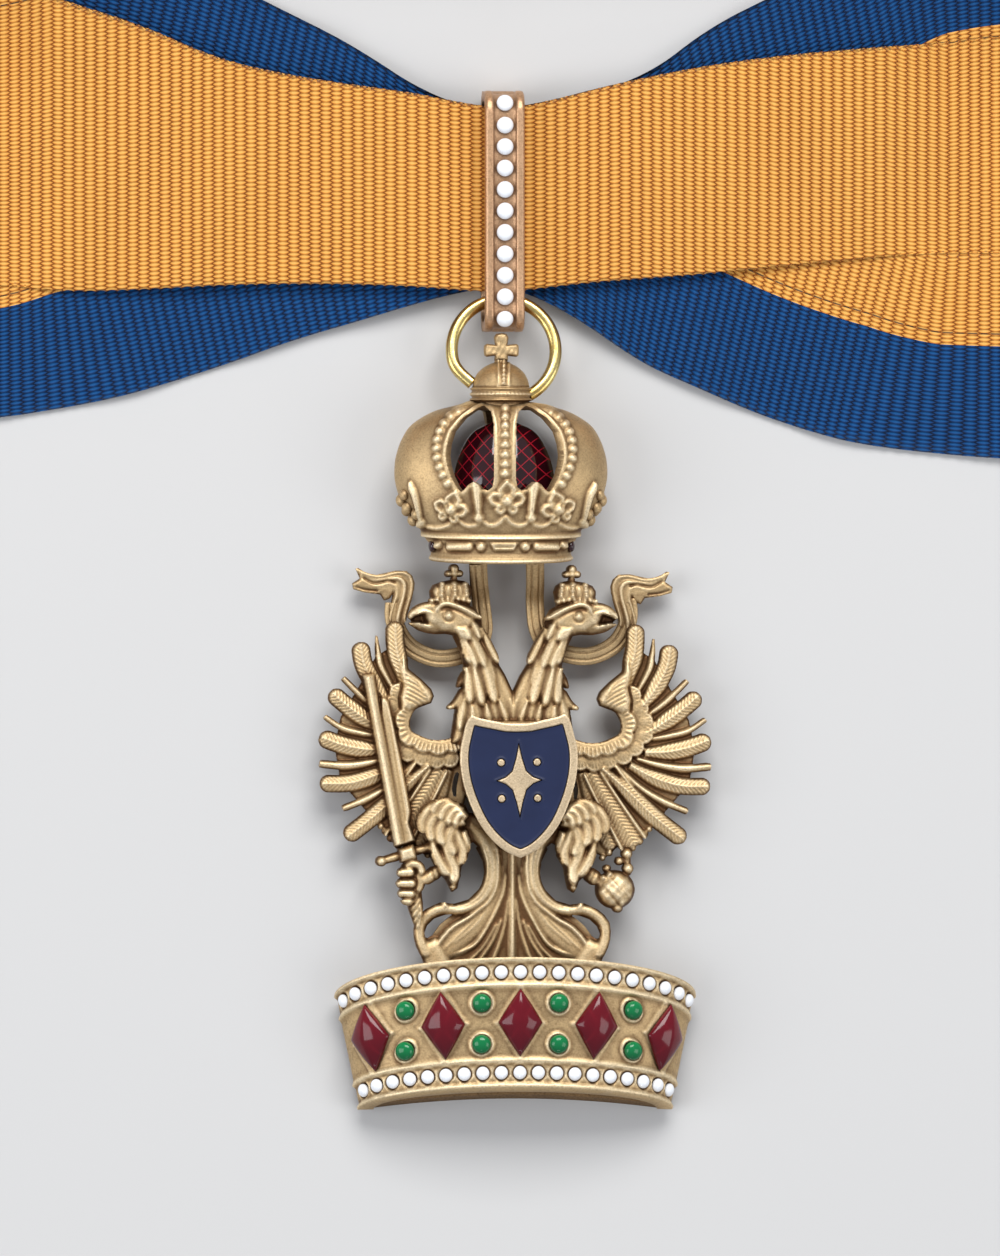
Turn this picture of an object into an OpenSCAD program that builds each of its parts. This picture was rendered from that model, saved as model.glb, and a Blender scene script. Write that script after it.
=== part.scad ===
// Commander's neck badge of an order: a ribbon loop, a ribbon bail with white beads, a jump ring,
// an imperial crown over a crowned double eagle, and a hollow base crown set with stones.
// It lies on its back. X runs to the right, Y from the base crown to the ribbon, Z up from the surface.
// Lengths are in millimetres. Inside the modules, the ribbon's centre line in the bail is at y = 0.

/* [Ribbon] */
// Width of the ribbon from selvedge to selvedge
ribbon_w = 51.5; // [46:0.5:56]
// Thickness of the ribbon's wall
ribbon_t = 1; // [0.8:0.1:1.2]
// Half of the front stretch that lies flat between the bail and the collar
fan_len = 49; // [44:1:56]
// Half of the collar's width at its widest
collar_half_w = 92; // [84:1:100]
// Distance from the bail's centre to the back of the collar
collar_back = 84; // [76:1:92]
// Height at which the pleated ribbon passes through the bail
ribbon_lift = 1.3; // [1.15:0.05:1.5]

/* [Clasp] */
// Length of the clasp along the ribbon
clasp_l = 12; // [9:0.5:16]
// Thickness of the clasp's two plates and of the web between them
clasp_wall = 1.1; // [0.8:0.1:1.5]

/* [Bail and ring] */
// Length of the bail
bail_l = 23.4; // [22.6:0.1:25]
// Width of the bail
bail_w = 3.85; // [3.4:0.05:4.5]
// Depth of the bail from front to back
bail_d = 6; // [5.8:0.1:7]
// Wall of the bail
bail_wall = 1; // [0.8:0.05:1.05]
// Number of white beads on the bail
bail_beads = 11; // [7:1:11]
// Diameter of a white bead on the bail
bail_bead_d = 1.63; // [1.3:0.01:1.75]
// Outer diameter of the jump ring
ring_d = 11.3; // [11:0.1:12]
// Diameter of the jump ring's wire
ring_wire = 1.2; // [1:0.05:1.3]

/* [Imperial crown] */
// Width of the imperial crown across its lobes
crown_w = 20.7; // [18:0.1:23]
// Depth of the imperial crown from front to back
crown_d = 10; // [9:0.1:11]
// Height of the lobes and circlet, without the orb and cross
crown_h = 15.3; // [14:0.1:17]
// Wall of the crown's shell
crown_wall = 1; // [0.8:0.05:1.2]
// Width of the central arch
arch_w = 2.3; // [1.8:0.1:2.8]
// Height of the cross on the crown
cross_h = 3; // [2.4:0.1:3.1]

/* [Eagle] */
// Span of the eagle's wings
eagle_w = 38; // [35:0.5:40]
// Width of the strap on each side of the heads
strap_w = 1.75; // [1.4:0.05:2]
// Thickness of a strap
strap_t = 0.9; // [0.6:0.05:1]

/* [Shield] */
// Width of the shield
shield_w = 11.4; // [10:0.1:12.4]
// Height of the shield
shield_h = 13.9; // [12:0.1:14.5]
// Thickness of the shield's plate
shield_t = 1; // [0.8:0.05:1.4]
// Width of the shield's metal rim
shield_rim = 0.95; // [0.7:0.05:1.3]
// Height of the ornament on the shield
ornament_h = 7.6; // [6:0.1:8.5]

/* [Base crown] */
// Width of the base crown across its upper rim
base_w = 34.8; // [33:0.1:38]
// Width of the base crown across its lower rim
base_low_w = 30.2; // [29:0.1:33]
// Depth of the base crown from its back to its front
base_d = 8.5; // [8:0.1:9.5]
// Height of the base crown's front
base_h = 12.3; // [11.5:0.1:13.5]
// Wall of the base crown
base_wall = 1.3; // [1:0.05:1.5]
// Diameter of a white bead on the base crown
base_bead_d = 1.32; // [1:0.01:1.4]
// Width of a red lozenge
lozenge_w = 4.3; // [3.6:0.1:4.6]
// Height of a red lozenge
lozenge_h = 6.6; // [5.4:0.1:6.7]
// Diameter of a green stone
green_d = 1.84; // [1.5:0.01:2]

/* [Hidden] */

$fn = 48;
// Gap between a piece and what it is seated on
seat = 0.1;
// Gap between a piece and another that passes beside it
clear = 0.15;
// Overlap that joins two shapes of one piece
bite = 0.02;

// Places along Y, from the bail down to the base crown
bail_top = 10.3;
ring_r = (ring_d - ring_wire) / 2;
bail_bottom = bail_top - bail_l;
ring_y = bail_bottom + bail_wall + 2.25 - ring_r;
crown_top = ring_y - ring_r;
crown_foot = crown_top - crown_h;
eagle_y = crown_foot - 15.92;
shield_top = eagle_y + 0.95;
base_top = crown_foot - 38.45;

// Places along X and Z
crown_x = -0.35;
crown_z = crown_d / 2;
eagle_x = 1.2;
eagle_z = 2.6;
base_x = 1.3;
eagle_lean = 0.9;
shield_z = 6.3;

bronze = "#b8945c";
dark_bronze = "#96704b";
brass = "#c8b45a";
white = "#f2f4f6";
red = "#780f22";
green = "#0a7840";

function mix(a, b, t) = a + (b - a) * t;
function ease(t) = t * t * (3 - 2 * t);
function unit(v) = v / norm(v);

// Skin over rings of points, each ring with as many points as the others, closed with a flat cap.
// The rings may run either way: the faces are turned so that they look outwards.
function sum(v) = len(v) == 0 ? 0 : [for (x = v) 1] * v;
function face_volume(points, f) = sum([for (i = [1:len(f) - 2])
    points[f[0]] * cross(points[f[i]], points[f[i + 1]])]);
module skin(rings) {
    n = len(rings[0]);
    m = len(rings);
    points = [for (r = rings) each r];
    sides = [for (i = [0:m - 2]) for (j = [0:n - 1]) let (k = (j + 1) % n)
        each [[i * n + j, i * n + k, (i + 1) * n + k], [i * n + j, (i + 1) * n + k, (i + 1) * n + j]]];
    faces = concat(sides, [[for (j = [n - 1:-1:0]) j]], [[for (j = [0:n - 1]) (m - 1) * n + j]]);
    outwards = sum([for (f = faces) face_volume(points, f)]) < 0;
    polyhedron(points, outwards ? faces : [for (f = faces) [for (i = [len(f) - 1:-1:0]) f[i]]]);
}

// Limb: one smooth skin through points given as [x, y, z, radius], with blunt ends
function limb_ring(p, along, r, sides) = let (
    side = unit(cross(along, [0, 0, 1])), up = cross(side, along))
    [for (k = [0:sides - 1]) let (t = 360 * (k + 0.5) / sides) p + r * (cos(t) * side + sin(t) * up)];
module limb(points, sides = 8) {
    n = len(points) - 1;
    at = [for (p = points) [p[0], p[1], p[2]]];
    along = [for (i = [0:n]) unit(at[min(n, i + 1)] - at[max(0, i - 1)])];
    skin(concat([limb_ring(at[0] - 0.6 * points[0][3] * along[0], along[0], 0.55 * points[0][3], sides)],
        [for (i = [0:n]) limb_ring(at[i], along[i], points[i][3], sides)],
        [limb_ring(at[n] + 0.6 * points[n][3] * along[n], along[n], 0.55 * points[n][3], sides)]));
}

// Rod through points given as [x, y, z, radius]
module rod(points, sides = 6) {
    for (i = [0:len(points) - 2]) hull() {
        for (p = [points[i], points[i + 1]]) translate([p[0], p[1], p[2]]) sphere(p[3], $fn = sides);
    }
}

// Bead with a flat seat and a domed top, standing on z = 0
module bead(d, h) {
    dome_r = 0.6 * d;
    intersection() {
        cylinder(d = d, h = h);
        translate([0, 0, h - dome_r]) sphere(dome_r);
    }
}

// Ribbon: how its pleats open from the bail to the start of the collar.
// Columns: share of fan_len, then as shares of ribbon_w the upper fold, the upper selvedge,
// the lower fold and the lower selvedge, then the lift as a share of ribbon_lift,
// and last the share of the gathered width that the lower pleat takes.
fan_left = [
    [0.00, 0.168, 0.160, -0.173, -0.166, 1.0, 0.31],
    [0.07, 0.174, 0.170, -0.171, -0.176, 1.0, 0.31],
    [0.15, 0.193, 0.196, -0.163, -0.195, 0.9, 0.31],
    [0.29, 0.211, 0.278, -0.158, -0.232, 0.5, 0.35],
    [0.43, 0.231, 0.340, -0.157, -0.266, 0.2, 0.50],
    [0.57, 0.262, 0.408, -0.160, -0.312, 0.0, 0.90],
    [0.72, 0.310, 0.466, -0.170, -0.355, 0.0, 1.00],
    [0.86, 0.370, 0.520, -0.180, -0.392, 0.0, 1.00],
    [1.00, 0.440, 0.575, -0.190, -0.419, 0.0, 1.00]];
fan_right = [
    [0.00, 0.168, 0.160, -0.173, -0.166, 1.0, 0.31],
    [0.07, 0.175, 0.173, -0.167, -0.186, 1.0, 0.31],
    [0.15, 0.197, 0.204, -0.156, -0.228, 0.9, 0.28],
    [0.29, 0.228, 0.242, -0.146, -0.303, 0.5, 0.20],
    [0.43, 0.255, 0.322, -0.142, -0.352, 0.2, 0.05],
    [0.57, 0.272, 0.382, -0.150, -0.406, 0.0, 0.00],
    [0.72, 0.286, 0.440, -0.170, -0.450, 0.0, 0.00],
    [0.86, 0.300, 0.482, -0.190, -0.468, 0.0, 0.00],
    [1.00, 0.340, 0.502, -0.210, -0.490, 0.0, 0.00]];
layer_gap = 0.1;
fan_steps = 16;

function col(table, x, c) = lookup(x, [for (r = table) [r[0], r[c]]]);

// Outline of the pleated ribbon across its length, at a share of fan_len; side is 1 or -1.
// A pleat that has opened flattens into the front layer.
function pleat_heights(z, t, step) =
    [z + t, max(z + step, z + t + 0.02), z + min(step + t, 2 * step - 0.02), z + 2 * step];
function fan_ring(table, share, side) = let (
    t = ribbon_t,
    up_fold = col(table, share, 1) * ribbon_w, up_edge = col(table, share, 2) * ribbon_w,
    low_fold = col(table, share, 3) * ribbon_w, low_edge = col(table, share, 4) * ribbon_w,
    z = col(table, share, 5) * ribbon_lift,
    gathered = max(0, (ribbon_w - (up_edge - low_edge)) / 2),
    low_deep = gathered * col(table, share, 6),
    up_deep = gathered * (1 - col(table, share, 6)),
    low_step = (t + layer_gap) * max(0.05, min(1, low_deep / (2 * t))),
    up_step = (t + layer_gap) * max(0.05, min(1, up_deep / (2 * t))),
    low_back = low_fold + max(1.1 * t, low_deep),
    up_back = up_fold - max(1.1 * t, up_deep),
    low_z = pleat_heights(z, t, low_step),
    up_z = pleat_heights(z, t, up_step),
    outline = [
        [low_fold, low_z[3] + t], [low_fold, low_z[1]], [low_back - t, low_z[1]], [low_back - t, low_z[0]],
        [low_edge, low_z[0]], [low_edge, z], [low_back, z], [low_back, low_z[2]],
        [low_fold + t, low_z[2]], [low_fold + t, low_z[3]],
        [up_fold - t, up_z[3]], [up_fold - t, up_z[2]], [up_back, up_z[2]], [up_back, z],
        [up_edge, z], [up_edge, up_z[0]], [up_back + t, up_z[0]], [up_back + t, up_z[1]],
        [up_fold, up_z[1]], [up_fold, up_z[3] + t]])
    [for (p = outline) [side * share * fan_len, p[0], p[1]]];

// Collar: the ribbon flattens out, then rises on its lower selvedge as it turns to the back
corner_steps = 10;
back_steps = 8;
rise_steps = 12;
// How far the ribbon's threads turn with its path while it rises
turn_share = 0.35;
function bezier(a, b, c, d, t) =
    a * (1 - t) ^ 3 + 3 * b * t * (1 - t) ^ 2 + 3 * c * t ^ 2 * (1 - t) + d * t ^ 3;
function collar_path(start_y, end_gap) = let (
    turn = 0.55 * collar_back,
    reach = collar_half_w - fan_len,
    corner = [for (i = [1:corner_steps]) bezier([fan_len, start_y],
        [fan_len + 0.8 * reach, start_y - 0.08 * reach], [collar_half_w, turn - reach],
        [collar_half_w, turn], i / corner_steps)],
    straight = clasp_l / 2 + 1,
    back = [for (i = [1:back_steps]) let (t = 90 * i / back_steps)
        [straight + (collar_half_w - straight) * cos(t), turn + (collar_back - turn) * sin(t)]])
    concat(corner, back, [[end_gap, collar_back]]);

// Cross-section of the ribbon where it stands on its lower selvedge: shares of its width, and its face
low_side = [0, 0.08, 0.13, 0.17, 0.22];
function half_t(u) = 0.5 + 0.24 * u * (1 - u);
edge_outline = concat(
    [for (i = [4:-1:0]) [low_side[i], half_t(low_side[i])]], [for (u = low_side) [u, -half_t(u)]],
    [for (i = [4:-1:0]) [1 - low_side[i], -half_t(low_side[i])]], [for (u = low_side) [1 - u, half_t(u)]]);
function edge_ring(p, along, rise, w, side) = let (
    turned = 90 + turn_share * atan2(along[1], along[0]),
    across = [cos(turned) * cos(rise), sin(turned) * cos(rise), sin(rise)],
    face = unit(cross([along[0], along[1], 0], across)),
    foot = [p[0], p[1], ribbon_t / 2 * abs(face[2])])
    [for (c = edge_outline) let (q = foot + across * c[0] * w + face * c[1] * ribbon_t)
        [side * q[0], q[1], q[2]]];

// Rings of one side, from the bail to the end that the clasp holds
function ribbon_side(table, side) = let (
    last_row = table[len(table) - 1],
    start = [fan_len, last_row[4] * ribbon_w],
    path = collar_path(start[1], clasp_wall / 2 + seat),
    n = len(path) - 1,
    flat_w = (last_row[2] - last_row[4]) * ribbon_w)
    concat([for (i = [0:fan_steps]) fan_ring(table, i / fan_steps, side)],
        [for (i = [0:n]) let (
            along = i == n ? [-1, 0] : unit(path[i + 1] - (i == 0 ? start : path[i - 1])),
            rise = 90 * ease(min(1, (i + 1) / rise_steps)))
            edge_ring(path[i], along, rise, mix(flat_w, ribbon_w, min(1, (i + 1) / 4)), side)]);

module neck_ribbon() {
    left = ribbon_side(fan_left, -1);
    right = ribbon_side(fan_right, 1);
    color("#d99a45") skin(concat([for (i = [len(left) - 1:-1:1]) left[i]], right));
}

// Clasp: one plain piece whose two slots hold the ribbon's ends at the back of the collar
module neck_clasp() {
    slot = ribbon_t + 2 * clear;
    thick = slot + 2 * clasp_wall;
    color(brass) translate([0, collar_back, 0]) difference() {
        translate([-clasp_l / 2, -thick / 2, 0.4]) cube([clasp_l, thick, ribbon_w - 0.8]);
        for (side = [-1, 1]) translate([side * (clasp_wall + clasp_l) / 2 - clasp_l / 2, -slot / 2, -1])
            cube([clasp_l, slot, ribbon_w + 2]);
    }
}

// Bail: a flat loop that the ribbon passes through, with a channel of beads between two side rims
bail_corner = 2.1;
bail_channel_w = bail_w - 1.75;
bail_channel = 0.35;
module round_slot(l, h, r) {
    translate([-l / 2 + r, -h / 2]) square([l - 2 * r, h]);
    translate([-l / 2, -h / 2 + r]) square([l, h - 2 * r]);
    for (x = [-1, 1], y = [-1, 1]) translate([x * (l / 2 - r), y * (h / 2 - r)]) circle(r);
}

module bail_outline(shrink) {
    round_slot(bail_l - 2 * shrink, bail_d - 2 * shrink, bail_corner - shrink);
}

module ribbon_bail() {
    color(dark_bronze) translate([0, bail_top - bail_l / 2, bail_d / 2]) rotate([90, 0, 90]) difference() {
        translate([0, 0, -bail_w / 2]) linear_extrude(bail_w) bail_outline(0);
        translate([0, 0, -bail_w / 2 - 1]) linear_extrude(bail_w + 2) bail_outline(bail_wall);
        translate([0, 0, -bail_channel_w / 2]) linear_extrude(bail_channel_w) intersection() {
            difference() {
                bail_outline(-1);
                bail_outline(bail_channel);
            }
            translate([-bail_l, 0]) square([2 * bail_l, bail_d]);
        }
    }
}

module bail_beads_white() {
    row = bail_l - 2 * bail_corner + 1.6;
    pitch = row / (bail_beads - 1);
    color(white) for (i = [0:bail_beads - 1])
        translate([0, bail_top - (bail_l - row) / 2 - i * pitch, bail_d - bail_channel + seat])
            bead(bail_bead_d, 0.95);
}

// Jump ring: it lies under the ribbon in the bail and runs through the top of the crown
ring_high = bail_d / 2;
ring_tilt = asin((crown_z - ring_high) / (2 * ring_r));
module ring_shape(wire) {
    translate([0, ring_y, (ring_high + crown_z) / 2]) rotate([-ring_tilt, 0, 0])
        rotate_extrude($fn = 72) translate([ring_r, 0]) circle(d = wire, $fn = 24);
}

module jump_ring() {
    color(brass) ring_shape(ring_wire);
}

// Imperial crown: shares of crown_h down from the top, of half of crown_w and of half of crown_d
crown_shape = [
    [0.00, 0.33, 0.50], [0.04, 0.56, 0.68], [0.08, 0.72, 0.78], [0.15, 0.85, 0.88], [0.24, 0.93, 0.95],
    [0.34, 0.98, 0.99], [0.42, 1.00, 1.00], [0.50, 0.99, 0.99], [0.60, 0.955, 0.96], [0.70, 0.89, 0.91],
    [0.78, 0.80, 0.85], [0.82, 0.745, 0.81]];
// Circlet: shares of crown_h, of half of crown_w and of half of crown_d
circlet_shape = [
    [0.815, 0.73, 0.80], [0.825, 0.75, 0.83], [0.85, 0.75, 0.83], [0.86, 0.71, 0.79], [0.95, 0.645, 0.72],
    [0.96, 0.665, 0.745], [1.00, 0.655, 0.735]];
crown_sides = 28;

function crown_ring(row, inset) = let (
    a = row[1] * crown_w / 2 - inset, b = row[2] * crown_d / 2 - inset)
    [for (i = [0:crown_sides - 1]) let (t = 360 * i / crown_sides)
        [a * cos(t), crown_top - row[0] * crown_h, crown_z + b * sin(t)]];
function crown_front(x, y) = let (
    s = (crown_top - y) / crown_h, a = col(crown_shape, s, 1) * crown_w / 2,
    b = col(crown_shape, s, 2) * crown_d / 2)
    crown_z + b * sqrt(max(0, 1 - (x / a) ^ 2));

// Window between the central arch and a lobe; shares of half of crown_w and of crown_h
crown_window = [[0.165, 0.025], [0.36, 0.11], [0.47, 0.20], [0.512, 0.33], [0.475, 0.45], [0.385, 0.565],
    [0.363, 0.575], [0.30, 0.53], [0.24, 0.48], [0.19, 0.525], [0.14, 0.56], [0.111, 0.56], [0.111, 0.105]];
// Beads along a lobe's edge lie on an ellipse; shares of half of crown_w and of crown_h
lobe_beads = 12;
lobe_ellipse = [0.213, 0.305, 0.394, 0.304];
arch_beads = 8;

module flower() {
    cylinder(r = 1.55, h = 0.5, $fn = 5);
    cylinder(r = 0.58, h = 0.95, $fn = 6);
}

module crown_ornament() {
    for (side = [-1, 1]) {
        for (i = [0:lobe_beads - 1]) {
            t = mix(97, -42, i / (lobe_beads - 1));
            x = side * (lobe_ellipse[0] + lobe_ellipse[2] * cos(t)) * crown_w / 2;
            y = crown_top - (lobe_ellipse[1] - lobe_ellipse[3] * sin(t)) * crown_h;
            translate([x, y, crown_front(x, y)]) sphere(0.42, $fn = 6);
        }
        for (x = [5.2, 8.2]) {
            y = crown_foot + (x < 6 ? 4.9 : 5.4);
            translate([side * x, y, crown_front(x, y)]) rotate([0, side * (x < 6 ? 25 : 58), 0]) flower();
        }
        rod([[side * 2.45, crown_foot + 7.9, crown_front(2.45, crown_foot + 7.9), 0.45],
            [side * 2.65, crown_foot + 4.2, crown_front(2.65, crown_foot + 4.2), 0.55]], 6);
    }
    for (i = [0:arch_beads - 1]) {
        y = crown_top - 0.6 - i * 0.93;
        translate([0, y, crown_front(0, y)]) sphere(0.47, $fn = 6);
    }
    translate([0, crown_foot + 5.85, crown_front(0, crown_foot + 5.85)]) flower();
}

// Small orb and cross on the crown; the jump ring passes through its foot
module crown_orb() {
    orb_h = 1.35;
    orb_y = crown_top + 1.15;
    cross_y = orb_y + 2.4 + cross_h / 2;
    translate([0, orb_y, crown_z]) rotate([-90, 0, 0]) {
        cylinder(r1 = 3, r2 = 2.8, h = 0.5);
        translate([0, 0, 0.5 - bite]) cylinder(r1 = 2.75, r2 = 2.2, h = orb_h);
        translate([0, 0, 0.5 + orb_h - 2 * bite]) cylinder(r1 = 2.2, r2 = 0.8, h = 0.8);
    }
    translate([0, crown_top - 0.3, crown_z]) rotate([-90, 0, 0]) cylinder(r = 2.55, h = 1.6);
    arm = 1.2;
    translate([0, cross_y - 0.1, crown_z]) {
        cube([arm, cross_h, arm], center = true);
        translate([0, 0.45, 0]) cube([3.3, arm, arm], center = true);
    }
}

module imperial_crown() {
    color(bronze) translate([crown_x, 0, 0]) difference() {
        union() {
            difference() {
                skin([for (r = crown_shape) crown_ring(r, 0)]);
                skin([for (r = crown_shape) if (r[0] > 0.05)
                    crown_ring([r[0] > 0.81 ? 0.83 : r[0] < 0.1 ? 0.095 : r[0], r[1], r[2]], crown_wall)]);
                for (side = [-1, 1]) linear_extrude(2 * crown_d + 2, center = true)
                    polygon([for (p = crown_window) [side * (p[0] * crown_w / 2 + (arch_w - 2.3) / 2),
                        crown_top - p[1] * crown_h]]);
            }
            difference() {
                skin([for (r = circlet_shape) crown_ring(r, 0)]);
                skin([crown_ring([0.8, 0.72, 0.80], crown_wall), crown_ring([0.905, 0.68, 0.755], crown_wall)]);
            }
            crown_ornament();
            crown_orb();
        }
        translate([-crown_x, 0, 0]) ring_shape(ring_wire + 2 * clear);
    }
}

// Cap: the enamelled lining that fills the inside of the crown
// Columns: share of the cap's height from its foot, share of its half width, share of its half depth
cap_shape = [[0, 0.84, 0.84], [0.2, 0.94, 0.94], [0.4, 1, 1], [0.6, 0.95, 0.95], [0.78, 0.80, 0.80],
    [0.91, 0.56, 0.56], [1, 0.18, 0.18]];
cap_half_w = 0.485 * crown_w / 2;
cap_half_d = crown_d / 2 - crown_wall - 0.9;
module crown_cap() {
    foot = crown_top - 0.905 * crown_h + seat;
    h = 0.80 * crown_h - seat;
    color(red) translate([crown_x, 0, 0]) skin([for (r = cap_shape)
        [for (k = [0:23]) [r[1] * cap_half_w * cos(15 * k), foot + r[0] * h,
            crown_z + r[2] * cap_half_d * sin(15 * k)]]]);
}

// Eagle: lengths in its tables are percent of the wing span, from the top of the shield's middle
pct = eagle_w / 100;
module eagle_place() {
    translate([eagle_x, eagle_y, 0]) rotate([0, 0, eagle_lean]) children();
}

// Straps: columns are x and y in percent of the wing span, and z in millimetres
strap_route = [[-7.3, 40.4, 4.7], [-7.2, 36, 3.3], [-6.9, 31, 2.0], [-7.0, 24, 2.0], [-9.5, 19.5, 2.0],
    [-14, 17.6, 2.0], [-18.5, 17.0, 2.0], [-22.5, 17.9, 2.0], [-26.4, 20.2, 2.0], [-28.9, 23.6, 2.0],
    [-30.1, 27.5, 2.0],
    [-30.1, 31.5, 2.0], [-28.9, 34.6, 2.0], [-29.6, 37.0, 2.0], [-32.0, 37.7, 2.0], [-36.5, 36.6, 2.0],
    [-39.0, 36.7, 2.0]];
// Swallow-tail at a strap's end, in percent of the wing span
strap_tip = [[-35.8, 37.6], [-37.2, 39.8], [-41.6, 40.4], [-42.0, 39.2], [-40.2, 37.0], [-42.8, 35.3],
    [-42.3, 33.9], [-37.2, 33.4], [-35.8, 35.6]];
strap_shift = -1.9;
function strap_ring(i, side) = let (
    n = len(strap_route) - 1,
    a = strap_route[max(0, i - 1)], b = strap_route[min(n, i + 1)], p = strap_route[i],
    along = unit([b[0] - a[0], b[1] - a[1]]),
    across = [-along[1], along[0]] * strap_w / 2,
    lean = strap_shift * max(0, p[1] - 17) / 23 * (p[0] > -12 ? 1 : 0.4),
    x = side * p[0] * pct + lean * pct,
    y = i == 0 ? crown_foot - eagle_y - clear : p[1] * pct,
    h = strap_t / 2)
    [for (c = [[1, h], [1, -h], [0.25, -h], [-0.25, -h], [-1, -h], [-1, h], [-0.35, 0.55 * h],
        [0.35, 0.55 * h]])
        [x + side * across[0] * c[0], y + across[1] * c[0], p[2] + c[1]]];

module strap(side) {
    color(bronze) eagle_place() {
        skin([for (i = [0:len(strap_route) - 1]) strap_ring(i, side)]);
        translate([0.3 * strap_shift * pct, 0, 2.0]) linear_extrude(1.2 * strap_t, center = true)
            polygon([for (p = strap_tip) [side * p[0], p[1]] * pct]);
    }
}

module strap_left() { strap(1); }
module strap_right() { strap(-1); }

// Wing: the plate that its feathers stand on
wing_plate = [[13.0, -3.2], [17.5, -5.4], [22.1, -5.0], [25.9, -3.7], [28.0, -0.5], [27.3, 2.1], [24.7, 3.4],
    [21.1, 6.1], [24.1, 10.6], [27.3, 13.3], [28.6, 17.1], [32, 18], [37, 12], [41, 5], [42, -3], [42, -11],
    [39, -19], [35, -25], [29, -29.5], [22, -25], [19, -21], [15.5, -18.5], [14.6, -12]];
// Feathers: root x and y, tip x and y, width
feathers = [[28.6, 9.7, 30.3, 25.4, 5.6], [32.3, 3.6, 39.6, 20.7, 6.6], [33.6, -3.0, 47.0, 7.9, 6.6],
    [33.0, -6.4, 50.0, -3.2, 6.4], [29.7, -11.0, 49.6, -15.6, 6.4], [22.9, -12.5, 43.4, -30.0, 6.2],
    [30.5, 6.0, 35.5, 22.0, 2.6], [33.3, 0.5, 44.6, 11.2, 2.6], [33.5, -4.5, 48.8, 1.6, 2.6],
    [31.5, -8.5, 49.9, -10.4, 2.6], [26.0, -12.0, 44.2, -22.2, 2.8], [20.0, -12.5, 32.3, -28.8, 4.6],
    [17.5, -12.0, 27.6, -31.0, 4.6]];
// Arm of the wing, thick along its inner edge: x, y, radius
wing_arm = [[13.5, -7.0, 3.4], [19.0, -8.4, 3.2], [25.2, -7.0, 3.2], [30.0, -2.5, 3.0], [29.6, 2.4, 2.8],
    [25.6, 6.4, 3.0], [27.8, 11.0, 2.4], [30.0, 17.0, 1.8], [31.0, 21.5, 1.2]];

// One feather: a flat back and a raised quill along its middle
module feather(row) {
    root = [row[0], row[1]] * pct;
    tip = [row[2], row[3]] * pct;
    l = norm(tip - root);
    w = row[4] * pct;
    turn = atan2(tip[1] - root[1], tip[0] - root[0]);
    low = 0.5;
    rise = 1.0;
    shape = [[0, 0.2], [0.35, 0.4], [0.7, 0.5], [0.93, 0.34]];
    translate([root[0], root[1], eagle_z]) rotate([0, 0, turn])
        skin([for (s = concat([for (r = shape) r], [[1, 0.05]]))
            [[s[0] * l, -s[1] * w, 0], [s[0] * l, s[1] * w, 0], [s[0] * l, s[1] * w, low + 0.5],
            [s[0] * l, 0, low + rise], [s[0] * l, -s[1] * w, low + 0.5]]]);
}

module wing() {
    translate([0, 0, eagle_z]) linear_extrude(0.9) polygon([for (p = wing_plate) p * pct]);
    for (f = feathers) feather(f);
    limb([for (p = wing_arm) [p[0] * pct, p[1] * pct, eagle_z + 0.65, p[2] * pct]], 8);
}

// Head and neck: x, y, z above the eagle's back and radius, all in percent of the wing span
neck = [[7.5, -4, 2.0, 7.0], [8.6, 3, 2.4, 6.7], [9.8, 8.5, 3.6, 5.6], [11.9, 14.5, 4.4, 4.4],
    [13.2, 20, 5.0, 4.0], [15.0, 24.5, 5.1, 4.5], [16.8, 27.0, 5.1, 4.2]];
upper_beak = [[18.5, 27.6, 5.0, 3.0], [22.8, 27.8, 4.8, 1.7], [26.4, 26.8, 4.6, 0.6]];
lower_beak = [[17.0, 24.0, 4.9, 2.8], [21.5, 23.2, 4.8, 1.5], [25.9, 24.4, 4.6, 0.6]];
brow = [[19.5, 29.6, 7.6, 0.8], [14.5, 29.3, 9.2, 1.0], [9.9, 27.2, 7.5, 0.7]];
neck_spurs = [[[11.0, 14, 4.2, 3.0], [16.2, 9.4, 4.2, 0.5]], [[10.5, 7, 4.2, 3.6], [18.4, 3.4, 4.2, 0.6]]];

function from_pct(points) = [for (p = points) [p[0] * pct, p[1] * pct, eagle_z + p[2] * pct, p[3] * pct]];

module head() {
    limb(from_pct(neck), 10);
    limb(from_pct(upper_beak), 8);
    limb(from_pct(lower_beak), 8);
    limb(from_pct(brow), 5);
    for (s = neck_spurs) rod(from_pct(s), 5);
    translate([16.1 * pct, 27.3 * pct, eagle_z + 9.1 * pct]) sphere(0.4, $fn = 8);
    small_crown();
}

// Small crown on a head
module small_crown() {
    x = 15.2 * pct;
    y = 30.2 * pct;
    z = eagle_z + 5.2 * pct;
    half = 4.5 * pct;
    translate([x, y, z]) rotate([-90, 0, 0]) {
        translate([0, 0, -0.3]) cylinder(r1 = half, r2 = 1.14 * half, h = 1.3, $fn = 12);
        translate([0, 0, 1.5]) sphere(0.98 * half, $fn = 8);
        translate([0, 0, 2.6]) cylinder(r = 0.35, h = 1.1, $fn = 5);
        translate([0, 0, 3.3]) cube([1.15, 0.5, 0.42], center = true);
        for (k = [0:5]) rotate([0, 0, 60 * k + 30]) translate([1.1 * half, 0, 1.25]) sphere(0.34, $fn = 6);
    }
}

// Leg: a feathered thigh that ends in a point, and the shank that holds the claw
thigh = [[11.5, -18.5, 4.5, 3.6], [16.9, -23.5, 4.6, 4.9], [18.6, -28.5, 6.5, 5.2], [17.5, -34.0, 6.0, 4.3],
    [15.8, -38.5, 5.4, 3.0], [14.7, -42.2, 4.4, 1.0]];
shank = [[16.0, -38.0, 5.0, 2.6], [19.4, -40.3, 5.2, 2.1], [23.2, -41.2, 5.2, 2.2]];

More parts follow.
